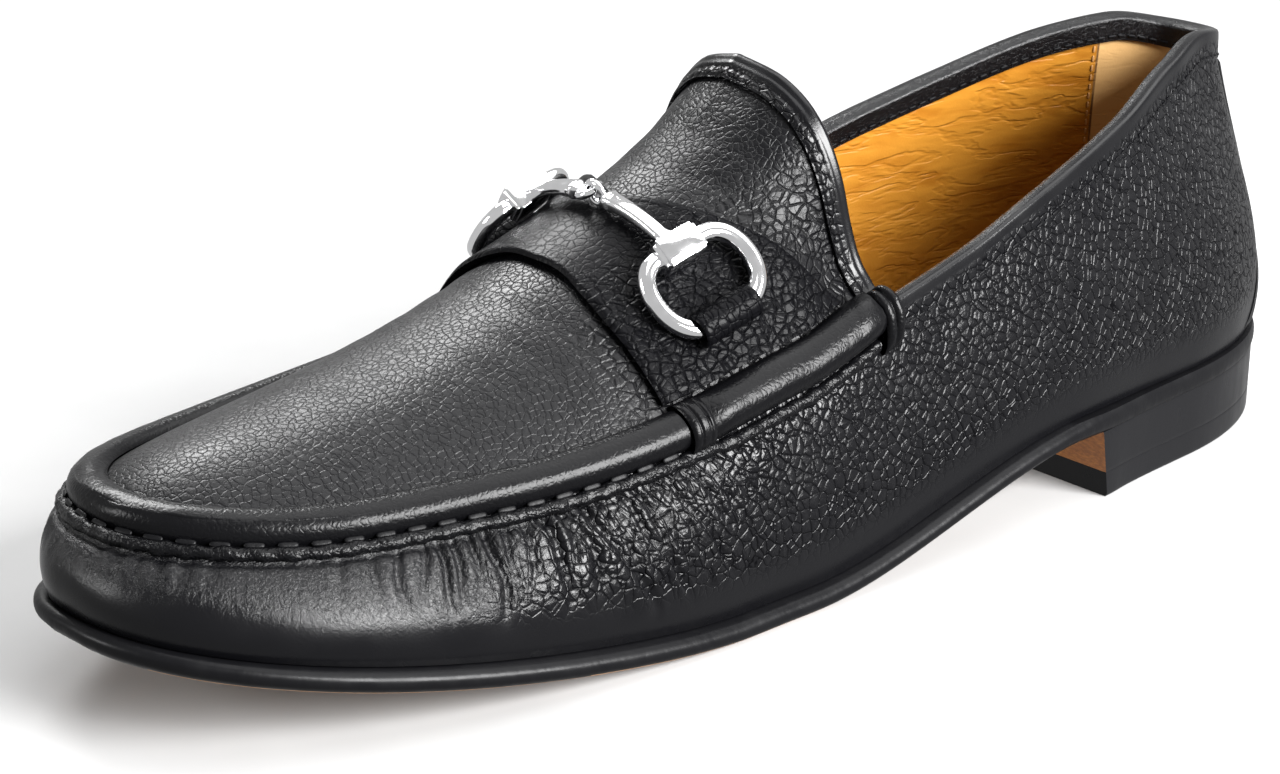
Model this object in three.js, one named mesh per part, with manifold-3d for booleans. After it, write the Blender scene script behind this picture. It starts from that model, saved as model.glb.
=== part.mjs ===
// A bit loafer for the left foot: leather sole and stacked heel, a hollow moccasin upper with a
// raised seam, a saddle strap and a snaffle bit. Millimetres, +X to the toe, +Y to the outer
// (lateral) side, +Z up. Lengths along the shoe are counted from the back of the sole.
import * as THREE from 'three';
import { mergeVertices } from 'three/addons/utils/BufferGeometryUtils.js';
import Module from 'manifold-3d';

const wasm = await Module();
wasm.setup();

// Sole
const length = 299;
const ballWidth = 99;
const soleThickness = 4;
const heelHeight = 14.5; // floor to sole at the breast
const seatRise = 1; // the seat climbs this much more to its back
const toeSpring = 16.5;
const springStart = 0.62; // share of the length where the forefoot leaves the floor
const flatStart = 0.56; // share of the length where the forefoot meets the floor
const seatEnd = 0.28; // share of the length where the seat turns down into the waist
const heelLength = 79.5; // along the floor, to the breast
const topPieceThickness = 5.5;
const breastLean = 2.5; // the breast is this much further forward under the sole
const heelInset = 0.4; // heel inside the sole's edge
const toeRim = 2.4; // sole that shows outside the upper at the toe

// Upper
const wall = 2.2; // leather and lining together
const collarHeight = 62; // back of the topline over the sole
const instepHeight = 88; // tip of the tongue over the sole
const collarBack = 14.5; // topline behind the heel, from the sole's back
const seamTip = length - 12; // moccasin seam at the toe
const throat = 0.465; // share of the topline's run where it turns up into the tongue
const tongueTip = 0.4967 * length;
const spineEnd = length - 31; // the apron's ridge ends here, before the toe
const toeTwist = 1.5; // the toe's tip lies this far to the inner side

// Fitted pieces
const fit = 0.3; // clearance between pieces that meet
const insoleThickness = 3;
const strapThickness = 1.8;
const bindingFit = 0.45; // folded edges sit a little looser
const bindingThickness = 1.1;
const bindingLap = 4.5;
const backstayThickness = 0.9;
const leatherEdge = 0.9; // what shows of a lapped edge
const wrapFront = 0.6321 * length; // the side wrap reaches this far forward from the throat
const frontBandWidth = 5;
const rearBandWidth = 4.5;
// Pieces that lie over the seam: how far down the wall, how far in over the apron, how high
const rollSize = { foot: 3, lap: 4.6, height: 3.6 };
const wrapSize = { foot: 3.6, lap: 5.2, height: 4.6 };
const frontBandSize = { foot: 4.4, lap: 5.4, height: 5 };
const rearBandSize = { foot: 7.5, lap: 4.2, height: 4.2 };

// Bit
const ringWire = 3.2;
const wireSides = 8;
const ringLength = 26;
const ringCorner = 5.4; // half the straight bar that the barrel turns on
const ringFront = 0.88; // the ring reaches less far forward than back
const bitStation = 0.597; // the rings' middle, as a share of the topline's run
const keeperFromSeam = 14.5; // over the apron, to the ring's outer bar
const barrelFromSeam = 28;
const barrelLength = 9.2;
const barrelDiameter = 6.6;
const linkDiameter = 3;
const eyeRadius = 2.15;
const eyeWire = 1.5;
const bitAt = 0.6154 * length; // the bit's joint crosses the spine here
const linkArch = 1.2; // the link bows this much over the instep
const keeperWidth = 13;
const keeperLeather = 1.3;
const keeperRoom = 1.2; // beside the wire, for the ring's curve

// Half widths either side of the long axis, as shares of half the ball width, and the rim of
// sole outside the upper, as a share of the rim at the toe
const soleRows = [
  { at: 0.0, lateral: 0.7, medial: 0.68, rim: 0.6 },
  { at: 0.16, lateral: 0.71, medial: 0.675, rim: 0.65 },
  { at: 0.3, lateral: 0.82, medial: 0.665, rim: 1.05 },
  { at: 0.46, lateral: 0.885, medial: 0.76, rim: 1.3 },
  { at: 0.57, lateral: 0.93, medial: 0.92, rim: 1.3 },
  { at: 0.68, lateral: 0.965, medial: 1.01, rim: 1.3 },
  { at: 1.0, lateral: 0.96, medial: 0.91, rim: 1.0 },
];

// The top edge of the wall: topline as far as the throat, then the seam. Half widths are shares
// of half the ball width, the rise is a share of the collar's height over the sole.
const topRows = [
  { at: 0.0, lateral: 0.29, medial: 0.29, rise: 1.01 },
  { at: 0.05, lateral: 0.3, medial: 0.28, rise: 1.045 },
  { at: 0.11, lateral: 0.39, medial: 0.39, rise: 1.0 },
  { at: 0.2, lateral: 0.55, medial: 0.535, rise: 0.885 },
  { at: 0.3, lateral: 0.645, medial: 0.635, rise: 0.77 },
  { at: 0.39, lateral: 0.685, medial: 0.67, rise: 0.72 },
  { at: 0.465, lateral: 0.72, medial: 0.68, rise: 0.725 },
  { at: 0.55, lateral: 0.745, medial: 0.715, rise: 0.66 },
  { at: 0.65, lateral: 0.75, medial: 0.735, rise: 0.565 },
  { at: 0.75, lateral: 0.705, medial: 0.705, rise: 0.46 },
  { at: 0.84, lateral: 0.67, medial: 0.69, rise: 0.38 },
  { at: 0.92, lateral: 0.68, medial: 0.71, rise: 0.315 },
  { at: 1.0, lateral: 0.7, medial: 0.76, rise: 0.275 },
];

// Fullness of the wall's section, as shares of the collar's height (out) and of the wall's (up)
const wallRows = [
  { at: 0.0, lowOut: 0.085, lowUp: 0.3, highOut: 0.065, highDown: 0.35 },
  { at: 0.2, lowOut: 0.06, lowUp: 0.34, highOut: 0.06, highDown: 0.3 },
  { at: 0.45, lowOut: 0.05, lowUp: 0.34, highOut: 0.06, highDown: 0.28 },
  { at: 0.65, lowOut: 0.065, lowUp: 0.34, highOut: 0.1, highDown: 0.2 },
  { at: 0.85, lowOut: 0.06, lowUp: 0.42, highOut: 0.11, highDown: 0.18 },
  { at: 1.0, lowOut: 0.045, lowUp: 0.48, highOut: 0.11, highDown: 0.16 },
];

// The ridge of instep and apron: rise over the sole as a share of the instep's height
const spineRows = [
  { at: 0.44, rise: 1.12 },
  { at: 0.492, rise: 1.003 },
  { at: 0.517, rise: 0.935 },
  { at: 0.54, rise: 0.873 },
  { at: 0.563, rise: 0.818 },
  { at: 0.59, rise: 0.768 },
  { at: 0.615, rise: 0.722 },
  { at: 0.667, rise: 0.635 },
  { at: 0.717, rise: 0.55 },
  { at: 0.783, rise: 0.455 },
  { at: 0.85, rise: 0.375 },
  { at: 0.917, rise: 0.3 },
  { at: 0.96, rise: 0.245 },
];

// The tongue's free edge, from the throat to its tip: shares of its half width on each side and
// of its height
const tongueRows = [
  { at: 0.0, lateral: 1.0, medial: 1.0, up: 0.0 },
  { at: 0.1, lateral: 0.84, medial: 0.84, up: 0.055 },
  { at: 0.2, lateral: 0.745, medial: 0.74, up: 0.17 },
  { at: 0.31, lateral: 0.7, medial: 0.68, up: 0.34 },
  { at: 0.43, lateral: 0.675, medial: 0.625, up: 0.52 },
  { at: 0.56, lateral: 0.615, medial: 0.54, up: 0.7 },
  { at: 0.69, lateral: 0.485, medial: 0.4, up: 0.86 },
  { at: 0.83, lateral: 0.27, medial: 0.22, up: 0.96 },
  { at: 1.0, lateral: 0.0, medial: 0.0, up: 1.0 },
];

// The saddle strap's edges, by share of the way from seam to spine
const strapRows = [
  { at: 0.0, rear: 0.5, front: 0.664 },
  { at: 0.35, rear: 0.542, front: 0.664 },
  { at: 0.57, rear: 0.56, front: 0.66 },
  { at: 0.79, rear: 0.57, front: 0.652 },
  { at: 1.0, rear: 0.575, front: 0.648 },
];

const heelRound = 0.2; // share of the length over which the heel's outline rounds
const toeRound = 0.335;
const toePower = { lateral: 2.55, medial: 2.0 }; // how square the toe is on each side
const collarRound = 0.12;
const collarPower = 2.6; // how square the topline turns at the back
const seamRound = 0.3;
const halfBall = ballWidth / 2;
const lateral = 1;
const medial = -1;
const sides = [lateral, medial];
const sideName = { [lateral]: 'lateral', [medial]: 'medial' };
const up = new THREE.Vector3(0, 0, 1);

// A smooth value between the rows of a table, never beyond the rows beside it
function rowValue(rows, column, at) {
  const last = rows.length - 1;
  if (at <= rows[0].at) return rows[0][column];
  if (at >= rows[last].at) return rows[last][column];
  let k = 0;
  while (at > rows[k + 1].at) k += 1;
  const slope = (i) => (rows[i + 1][column] - rows[i][column]) / (rows[i + 1].at - rows[i].at);
  const tangent = (i) => {
    if (i === 0) return slope(0);
    if (i === last) return slope(last - 1);
    const before = slope(i - 1);
    const after = slope(i);
    return before * after <= 0 ? 0 : (2 * before * after) / (before + after);
  };
  const run = rows[k + 1].at - rows[k].at;
  const t = (at - rows[k].at) / run;
  const a = rows[k][column];
  const b = rows[k + 1][column];
  const bend = (1 - t) ** 2 * t * run * tangent(k) - t ** 2 * (1 - t) * run * tangent(k + 1);
  return a * (1 + 2 * t) * (1 - t) ** 2 + b * t ** 2 * (3 - 2 * t) + bend;
}

function clamp01(value) {
  return Math.min(1, Math.max(0, value));
}

function smoothStep(value) {
  const t = clamp01(value);
  return t * t * (3 - 2 * t);
}

function roundEnd(share, power) {
  return (1 - clamp01(share) ** power) ** (1 / power);
}

// Sole

function treadHeight(at) {
  const seat = heelHeight + seatRise * clamp01((seatEnd - at) / seatEnd);
  const waist = 1 - smoothStep((at - seatEnd) / (flatStart - seatEnd));
  const spring = toeSpring * clamp01((at - springStart) / (1 - springStart)) ** 1.4;
  return seat * waist + spring;
}

function soleTop(x) {
  return treadHeight(x / length) + soleThickness;
}

function solePoint(side, at) {
  const half = halfBall * rowValue(soleRows, sideName[side], at);
  const toe = roundEnd((at - 1 + toeRound) / toeRound, toePower[sideName[side]]);
  const rounded = half * roundEnd((heelRound - at) / heelRound, 2.05) * toe;
  const twist = toeTwist * clamp01((at - 1 + toeRound) / toeRound) ** 2;
  return new THREE.Vector3(at * length, side * rounded - twist, 0);
}

const tiny = 1e-4;

// A point a little further along the outline, which may pass the heel or the toe
function around(pointOf, side, at) {
  if (at < 0) return pointOf(-side, -at);
  if (at > 1) return pointOf(-side, 2 - at);
  return pointOf(side, at);
}

function outward(side, at) {
  const ahead = around(solePoint, side, at + tiny);
  const behind = around(solePoint, side, at - tiny);
  return new THREE.Vector3(behind.y - ahead.y, ahead.x - behind.x, 0).normalize().multiplyScalar(side);
}

// Stations along one side, closer where heel and toe are round, with one at the throat
function stations() {
  const list = [];
  const heelSteps = 7;
  const quarterSteps = 9;
  const vampSteps = 12;
  const toeSteps = 9;
  const heelPart = 0.13;
  const toePart = 0.2;
  for (let i = 0; i < heelSteps; i += 1) list.push(heelPart * (1 - Math.cos((Math.PI / 2) * (i / heelSteps))));
  for (let i = 0; i < quarterSteps; i += 1) list.push(heelPart + (throat - heelPart) * (i / quarterSteps));
  for (let i = 0; i < vampSteps; i += 1) list.push(throat + (1 - toePart - throat) * (i / vampSteps));
  for (let i = 0; i <= toeSteps; i += 1) list.push(1 - toePart * (1 - Math.sin((Math.PI / 2) * (i / toeSteps))));
  return list;
}

const allStations = stations();

// Solids

function addQuad(faces, a, b, c, d) {
  faces.push([a, b, c], [a, c, d]);
}

function geometryOf(faces) {
  const positions = [];
  for (const face of faces) {
    for (const p of face) positions.push(p.x, p.y, p.z);
  }
  const loose = new THREE.BufferGeometry();
  loose.setAttribute('position', new THREE.Float32BufferAttribute(positions, 3));
  const merged = mergeVertices(loose, 1e-3);
  const index = merged.getIndex().array;
  const kept = [];
  for (let i = 0; i < index.length; i += 3) {
    const [a, b, c] = [index[i], index[i + 1], index[i + 2]];
    if (a !== b && b !== c && c !== a) kept.push(a, b, c);
  }
  merged.setIndex(kept);
  return volumeOf(merged) < 0 ? flipped(merged) : merged;
}

function volumeOf(geometry) {
  const p = geometry.getAttribute('position');
  const index = geometry.getIndex().array;
  const corner = [new THREE.Vector3(), new THREE.Vector3(), new THREE.Vector3()];
  let sum = 0;
  for (let i = 0; i < index.length; i += 3) {
    corner.forEach((v, k) => v.fromBufferAttribute(p, index[i + k]));
    sum += corner[0].dot(corner[1].clone().cross(corner[2])) / 6;
  }
  return sum;
}

function flipped(geometry) {
  const index = geometry.getIndex().array;
  for (let i = 0; i < index.length; i += 3) [index[i], index[i + 1]] = [index[i + 1], index[i]];
  return geometry;
}

function toManifold(geometry) {
  const mesh = new wasm.Mesh({
    numProp: 3,
    vertProperties: new Float32Array(geometry.getAttribute('position').array),
    triVerts: new Uint32Array(geometry.getIndex().array),
  });
  return new wasm.Manifold(mesh);
}

function fromManifold(solid) {
  const mesh = solid.getMesh();
  const geometry = new THREE.BufferGeometry();
  geometry.setAttribute('position', new THREE.Float32BufferAttribute(mesh.vertProperties, 3));
  geometry.setIndex(Array.from(mesh.triVerts));
  return geometry;
}

// Rings of two facing rows of points each, skinned one to the next and capped at both ends
function loft(rings) {
  const faces = [];
  const loops = rings.map(({ a, b }) => [...a, ...[...b].reverse()]);
  for (let i = 0; i + 1 < loops.length; i += 1) {
    const count = loops[i].length;
    for (let k = 0; k < count; k += 1) {
      const next = (k + 1) % count;
      addQuad(faces, loops[i][k], loops[i][next], loops[i + 1][next], loops[i + 1][k]);
    }
  }
  const first = rings[0];
  const last = rings[rings.length - 1];
  for (let k = 0; k + 1 < first.a.length; k += 1) {
    addQuad(faces, first.a[k], first.b[k], first.b[k + 1], first.a[k + 1]);
    addQuad(faces, last.a[k], last.a[k + 1], last.b[k + 1], last.b[k]);
  }
  return geometryOf(faces);
}

// An outline of the sole at an inset, between two shares of the length, at a height that may
// depend on the place
function outlineRing(inset, heightAt, list) {
  const row = (side) => list.map((at) => {
    const p = solePoint(side, at).addScaledVector(outward(side, at), -inset);
    p.z = heightAt(p.x);
    return p;
  });
  return { a: row(lateral), b: row(medial) };
}

function outsole() {
  const profile = [
    { inset: 1.1, share: 0 },
    { inset: 0.25, share: 0.22 },
    { inset: 0, share: 0.55 },
    { inset: 0.3, share: 0.85 },
    { inset: 1.0, share: 1 },
  ];
  const tread = (x) => treadHeight(x / length);
  return loft(profile.map(({ inset, share }) => (
    outlineRing(inset, (x) => tread(x) + share * soleThickness, allStations)
  )));
}

// The heel's outline stops at the breast
function heelRing(inset, heightAt, leanShare) {
  const behind = allStations.filter((at) => at < heelLength / length - 0.01);
  const list = [...behind, (heelLength + breastLean * leanShare) / length];
  return outlineRing(inset, heightAt, list);
}

const topPieceShare = topPieceThickness / (heelHeight + seatRise);

function heelStack() {
  const under = (x) => treadHeight(x / length) - fit;
  return loft([
    heelRing(heelInset, () => topPieceThickness + fit, topPieceShare),
    heelRing(heelInset, under, 1),
  ]);
}

function heelTopPiece() {
  const chamfer = 0.7;
  return loft([
    heelRing(heelInset + chamfer, () => 0, 0),
    heelRing(heelInset, () => chamfer, 0),
    heelRing(heelInset, () => topPieceThickness, topPieceShare),
  ]);
}

// A point of the upper's foot, in from the sole's edge by the rim that shows and by more
function footPoint(side, at, inset) {
  const rim = toeRim * rowValue(soleRows, 'rim', at);
  return solePoint(side, at).addScaledVector(outward(side, at), -rim - inset);
}

function insole() {
  const row = (side, lift) => allStations.map((at) => {
    const p = footPoint(side, at, wall + 2 * fit);
    p.z = soleTop(p.x) + lift;
    return p;
  });
  return loft([fit, fit + insoleThickness].map((lift) => ({ a: row(lateral, lift), b: row(medial, lift) })));
}

// Upper

// The wall's top edge: topline behind the throat, moccasin seam before it
function topPoint(side, at) {
  const x = collarBack + (seamTip - collarBack) * at;
  const half = halfBall * rowValue(topRows, sideName[side], at);
  const toeShare = (at - 1 + seamRound) / seamRound;
  const heel = roundEnd((collarRound - at) / collarRound, collarPower);
  const rounded = half * heel * roundEnd(toeShare, 2.2);
  const twist = toeTwist * 1.4 * clamp01(toeShare) ** 1.5;
  const z = soleTop(x) + collarHeight * rowValue(topRows, 'rise', at);
  return new THREE.Vector3(x, side * rounded - twist, z);
}

function wallPoint(side, at, v) {
  const n = outward(side, at);
  const foot = footPoint(side, at, 0);
  foot.z = soleTop(foot.x) + fit;
  const top = topPoint(side, at);
  const height = top.z - foot.z;
  const row = (column) => rowValue(wallRows, column, at);
  const low = foot.clone().addScaledVector(n, row('lowOut') * collarHeight)
    .addScaledVector(up, row('lowUp') * height);
  const high = top.clone().addScaledVector(n, row('highOut') * collarHeight)
    .addScaledVector(up, -row('highDown') * height);
  const w = 1 - v;
  return foot.multiplyScalar(w ** 3).addScaledVector(low, 3 * w * w * v)
    .addScaledVector(high, 3 * w * v * v).addScaledVector(top, v ** 3);
}

function spineHeight(x) {
  return soleTop(x) + instepHeight * rowValue(spineRows, 'rise', x / length);
}

function spinePoint(at) {
  const share = clamp01((at - throat) / (1 - throat));
  const x = tongueTip + (spineEnd - tongueTip) * (1 - (1 - share) ** 1.25);
  const twist = toeTwist * smoothStep((x - length / 2) / (spineEnd - length / 2));
  return new THREE.Vector3(x, -twist, spineHeight(x));
}

const tongueFade = 0.08; // share of the run over which the tongue's arch dies into the instep

// The apron, instep and tongue, from the seam (v = 0) to the spine (v = 1)
function apronPoint(side, at, v) {
  const edge = topPoint(side, at);
  const spine = spinePoint(at);
  const stand = 1 - smoothStep((at - throat) / tongueFade);
  const across = (1 - stand) * (1 - v) + stand * rowValue(tongueRows, sideName[side], v);
  const rise = (1 - stand) * (1 - (1 - v) ** 2.3) + stand * rowValue(tongueRows, 'up', v);
  const along = (1 - stand) * v + stand * rise;
  const x = edge.x + (spine.x - edge.x) * along;
  const drop = spineHeight(edge.x) - edge.z;
  return new THREE.Vector3(x, spine.y + (edge.y - spine.y) * across, spineHeight(x) - drop * (1 - rise));
}

const wallSteps = 6;
const apronSteps = 9;

// The upper's outer surface as faces that share their points
function upperFaces() {
  const faces = [];
  const vamp = allStations.filter((at) => at >= throat - tiny);
  for (const side of sides) {
    const skin = (grid) => {
      for (let i = 0; i + 1 < grid.length; i += 1) {
        for (let j = 0; j + 1 < grid[i].length; j += 1) {
          const quad = [grid[i][j], grid[i + 1][j], grid[i + 1][j + 1], grid[i][j + 1]];
          addQuad(faces, ...(side === lateral ? quad.reverse() : quad));
        }
      }
    };
    const steps = (count) => Array.from({ length: count + 1 }, (_, j) => j / count);
    skin(allStations.map((at) => steps(wallSteps).map((v) => wallPoint(side, at, v))));
    skin(vamp.map((at) => steps(apronSteps).map((v) => apronPoint(side, at, v))));
  }
  return faces;
}

// A shell about the upper's surface, from outerLift outside it to innerDrop inside it
function upperShell(outerLift, innerDrop) {
  const skin = geometryOf(upperFaces());
  skin.computeVertexNormals();
  const p = skin.getAttribute('position');
  const n = skin.getAttribute('normal');
  const index = skin.getIndex().array;
  const point = (i) => new THREE.Vector3().fromBufferAttribute(p, i);
  const lifted = (i, lift) => point(i).addScaledVector(new THREE.Vector3().fromBufferAttribute(n, i), lift);
  const edges = new Map();
  for (let i = 0; i < index.length; i += 3) {
    for (const [a, b] of [[0, 1], [1, 2], [2, 0]]) {
      edges.set(`${index[i + a]},${index[i + b]}`, [index[i + a], index[i + b]]);
    }
  }
  const open = [...edges.values()].filter(([a, b]) => !edges.has(`${b},${a}`));
  const onSole = new Set(open.flat().filter((i) => p.getZ(i) < soleTop(p.getX(i)) + 2 * fit));
  const outer = (i) => {
    const q = lifted(i, outerLift);
    if (onSole.has(i)) q.z = p.getZ(i);
    return q;
  };
  const inner = (i) => {
    const q = lifted(i, -innerDrop);
    if (onSole.has(i)) q.z = p.getZ(i);
    return q;
  };
  const faces = [];
  for (let i = 0; i < index.length; i += 3) {
    const [a, b, c] = [index[i], index[i + 1], index[i + 2]];
    faces.push([outer(a), outer(b), outer(c)], [inner(c), inner(b), inner(a)]);
  }
  for (const [a, b] of open) addQuad(faces, outer(b), outer(a), inner(a), inner(b));
  return geometryOf(faces);
}

// Overlays on the upper

const step = 1e-3;

function surfaceNormal(pointOf, side, at, v) {
  const along = around((s, t) => pointOf(s, t, v), side, at + step)
    .sub(around((s, t) => pointOf(s, t, v), side, at - step));
  const climb = pointOf(side, at, Math.min(1, v + step)).sub(pointOf(side, at, Math.max(0, v - step)));
  return along.cross(climb).multiplyScalar(-side).normalize();
}

// The share of a surface's run from its seam edge that lies a distance away along it
function shareAt(pointOf, side, at, from, distance) {
  const count = 60;
  const to = 1 - from;
  let last = pointOf(side, at, from);
  let gone = 0;
  for (let k = 1; k <= count; k += 1) {
    const share = from + ((to - from) * k) / count;
    const next = pointOf(side, at, share);
    const part = next.distanceTo(last);
    if (gone + part >= distance) return share - ((to - from) / count) * (1 - (distance - gone) / part);
    gone += part;
    last = next;
  }
  return to;
}

// A point a distance down the wall (below zero) or in over the apron (above zero) from the top
// edge, lifted off the surface
function nearSeam(side, at, distance, lift) {
  const down = wallNormalPoint(side, at, Math.max(0, -distance));
  const over = apronNormalPoint(side, at, Math.max(0, distance));
  const n = distance < 0 ? down.n : over.n;
  if (Math.abs(distance) < tiny) n.add(down.n).normalize();
  return (distance < 0 ? down.p : over.p).addScaledVector(n, lift);
}

function wallNormalPoint(side, at, distance) {
  const v = shareAt(wallPoint, side, at, 1, distance);
  return { p: wallPoint(side, at, v), n: surfaceNormal(wallPoint, side, at, v) };
}

function apronNormalPoint(side, at, distance) {
  const v = shareAt(apronPoint, side, at, 0, distance);
  return { p: apronPoint(side, at, v), n: surfaceNormal(apronPoint, side, at, v) };
}

function seamRing(side, at, { foot, lap, height }) {
  const samples = [-1, -0.75, -0.35, 0, 0.35, 0.75, 1];
  const place = (f) => (f < 0 ? f * foot : f * lap);
  const lift = (f) => fit + leatherEdge + (height - leatherEdge) * Math.sqrt(1 - f * f);
  return {
    a: samples.map((f) => nearSeam(side, at, place(f), lift(f))),
    b: samples.map((f) => nearSeam(side, at, place(f), -wall / 2)),
  };
}

const topRun = seamTip - collarBack;

function runBetween(from, to, least) {
  const inside = allStations.filter((at) => at > from + tiny && at < to - tiny);
  if (inside.length >= least) return [from, ...inside, to];
  return Array.from({ length: least + 2 }, (_, k) => from + ((to - from) * k) / (least + 1));
}

const upperEnvelope = toManifold(upperShell(fit, wall + fit));

function cutByUpper(geometry) {
  return fromManifold(toManifold(geometry).subtract(upperEnvelope));
}

function seamPiece(side, from, to, size) {
  return cutByUpper(loft(runBetween(from, to, 1).map((at) => seamRing(side, at, size))));
}

const wrapEnd = (wrapFront - collarBack) / topRun;
const seamFit = fit / topRun;
const frontBandEnd = wrapEnd + seamFit + frontBandWidth / topRun;
const rearBandEnd = throat + seamFit + rearBandWidth / topRun;

// The raised seam runs round the toe from one front band to the other
function seamRoll() {
  const run = runBetween(frontBandEnd + seamFit, 1, 1);
  return cutByUpper(loft([
    ...run.map((at) => seamRing(lateral, at, rollSize)),
    ...[...run].reverse().slice(1).map((at) => seamRing(medial, at, rollSize)),
  ]));
}

// The strap runs from the side wraps' edges over the instep
function saddleStrap() {
  const acrossSteps = 8;
  const alongSteps = 4;
  const ring = (side, share) => {
    const rear = rowValue(strapRows, 'rear', share);
    const front = rowValue(strapRows, 'front', share);
    const places = Array.from({ length: alongSteps + 1 }, (_, k) => rear + ((front - rear) * k) / alongSteps);
    const row = (lift) => places.map((at) => {
      const edge = shareAt(apronPoint, side, at, 0, wrapSize.lap + 2 * fit);
      const v = edge + (1 - edge) * share;
      return apronPoint(side, at, v).addScaledVector(surfaceNormal(apronPoint, side, at, v), lift);
    });
    return { a: row(fit + strapThickness), b: row(-wall / 2) };
  };
  const half = (side) => Array.from({ length: acrossSteps + 1 }, (_, k) => ring(side, k / acrossSteps));
  return cutByUpper(loft([...half(lateral), ...half(medial).reverse().slice(1)]));
}

// A folded edge: down the outer face, over the rim and down the lining
function bindingRing(surfaceAt, over) {
  const at = (share, lift, rise) => {
    const { p, n } = surfaceAt(share * bindingLap);
    return p.addScaledVector(n, lift).addScaledVector(over, rise);
  };
  const outside = bindingFit + bindingThickness;
  const inside = -wall - outside;
  const middle = -wall / 2;
  const lining = -wall - bindingFit;
  return {
    a: [
      at(1, outside, 0), at(0.5, outside, 0), at(0, outside, bindingFit), at(0, middle, outside),
      at(0, inside, bindingFit), at(0.5, inside, 0), at(1, inside, 0),
    ],
    b: [
      at(1, bindingFit, 0), at(0.5, bindingFit, 0), at(0, bindingFit, bindingFit), at(0, middle, bindingFit),
      at(0, lining, bindingFit), at(0.5, lining, 0), at(1, lining, 0),
    ],
  };
}

function collarBinding() {
  const run = runBetween(0, throat - 2 * seamFit, 1);
  const ring = (side, at) => {
    const rim = topPoint(side, at);
    const over = rim.clone().sub(wallPoint(side, at, 1 - 0.02)).normalize();
    return bindingRing((distance) => wallNormalPoint(side, at, distance), over);
  };
  return loft([
    ...[...run].reverse().map((at) => ring(lateral, at)),
    ...run.slice(1).map((at) => ring(medial, at)),
  ]);
}

function tongueBinding() {
  const start = 0.1;
  const rows = Array.from({ length: apronSteps + 1 }, (_, j) => j / apronSteps);
  const shares = [start, ...rows.filter((v) => v > start + 0.01)];
  const ring = (side, v) => {
    const rim = apronPoint(side, throat, v);
    const stride = apronPoint(side, throat + step, v).sub(rim).length() / step;
    const over = rim.clone().sub(apronPoint(side, throat + step, v)).normalize();
    const surfaceAt = (distance) => {
      const at = throat + distance / stride;
      return { p: apronPoint(side, at, v), n: surfaceNormal(apronPoint, side, at + step, v) };
    };
    return bindingRing(surfaceAt, over);
  };
  return loft([
    ...shares.map((v) => ring(lateral, v)),
    ...[...shares].reverse().slice(1).map((v) => ring(medial, v)),
  ]);
}

// The strip over the back seam, wider at the seat. Rows go up the wall; reach is how far round
// the heel's outline it goes, as a share of the shoe's length
const backstayRows = [
  { at: 0.0, reach: 0.075 },
  { at: 0.12, reach: 0.04 },
  { at: 0.3, reach: 0.016 },
  { at: 0.6, reach: 0.011 },
  { at: 1.0, reach: 0.012 },
];

function backstay() {
  const low = 0.02;
  const high = shareAt(wallPoint, lateral, 0, 1, bindingLap + fit);
  const upSteps = 8;
  const acrossSteps = 3;
  const ring = (v) => {
    const reach = rowValue(backstayRows, 'reach', v);
    const places = [];
    for (let k = acrossSteps; k > 0; k -= 1) places.push([lateral, reach * (k / acrossSteps) ** 2]);
    places.push([lateral, 0]);
    for (let k = 1; k <= acrossSteps; k += 1) places.push([medial, reach * (k / acrossSteps) ** 2]);
    const row = (lift) => places.map(([side, at]) => (
      wallPoint(side, at, v).addScaledVector(surfaceNormal(wallPoint, side, at, v), lift)
    ));
    return { a: row(fit + backstayThickness), b: row(-wall / 2) };
  };
  return cutByUpper(loft(Array.from({ length: upSteps + 1 }, (_, k) => ring(low + ((high - low) * k) / upSteps))));
}

// Bit

// Axes of a bit ring on its side of the instep, from its keeper bar and its barrel bar: back
// towards the heel, out to the seam, and up
function ringFrame(side) {
  const over = (distance, lift) => {
    const { p, n } = apronNormalPoint(side, bitStation, distance);
    return { p: p.addScaledVector(n, 2 * fit + strapThickness + lift), n };
  };
  const keeperBar = over(keeperFromSeam, ringWire / 2 + 1.5 * fit);
  const barrelBar = over(barrelFromSeam, barrelDiameter / 2);
  const out = keeperBar.p.clone().sub(barrelBar.p);
  const centre = barrelBar.p.clone().addScaledVector(out, 0.5);
  const halfReach = out.length() / 2;
  out.normalize();
  const back = new THREE.Vector3().crossVectors(out, keeperBar.n.add(barrelBar.n)).normalize();
  if (back.x > 0) back.negate();
  const n = new THREE.Vector3().crossVectors(back, out).normalize();
  if (n.z < 0) n.negate();
  return { centre, back, out, n, halfReach };
}

function inFrame({ centre, back, out, n }, a, b, c) {
  return centre.clone().addScaledVector(back, a).addScaledVector(out, b).addScaledVector(n, c);
}

// A wire of round section bent round a closed path that lies in one plane
function closedWire(frame, path, radius) {
  const faces = [];
  const rings = path.map((p, i) => {
    const before = path[(i + path.length - 1) % path.length];
    const after = path[(i + 1) % path.length];
    const run = new THREE.Vector2(after.x - before.x, after.y - before.y).normalize();
    return Array.from({ length: wireSides }, (_, k) => {
      const turn = (2 * Math.PI * k) / wireSides;
      const c = Math.cos(turn) * radius;
      return inFrame(frame, p.x - run.y * c, p.y + run.x * c, Math.sin(turn) * radius);
    });
  });
  rings.forEach((ring, i) => {
    const next = rings[(i + 1) % rings.length];
    for (let k = 0; k < wireSides; k += 1) {
      const l = (k + 1) % wireSides;
      addQuad(faces, ring[k], ring[l], next[l], next[k]);
    }
  });
  return geometryOf(faces);
}

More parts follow.
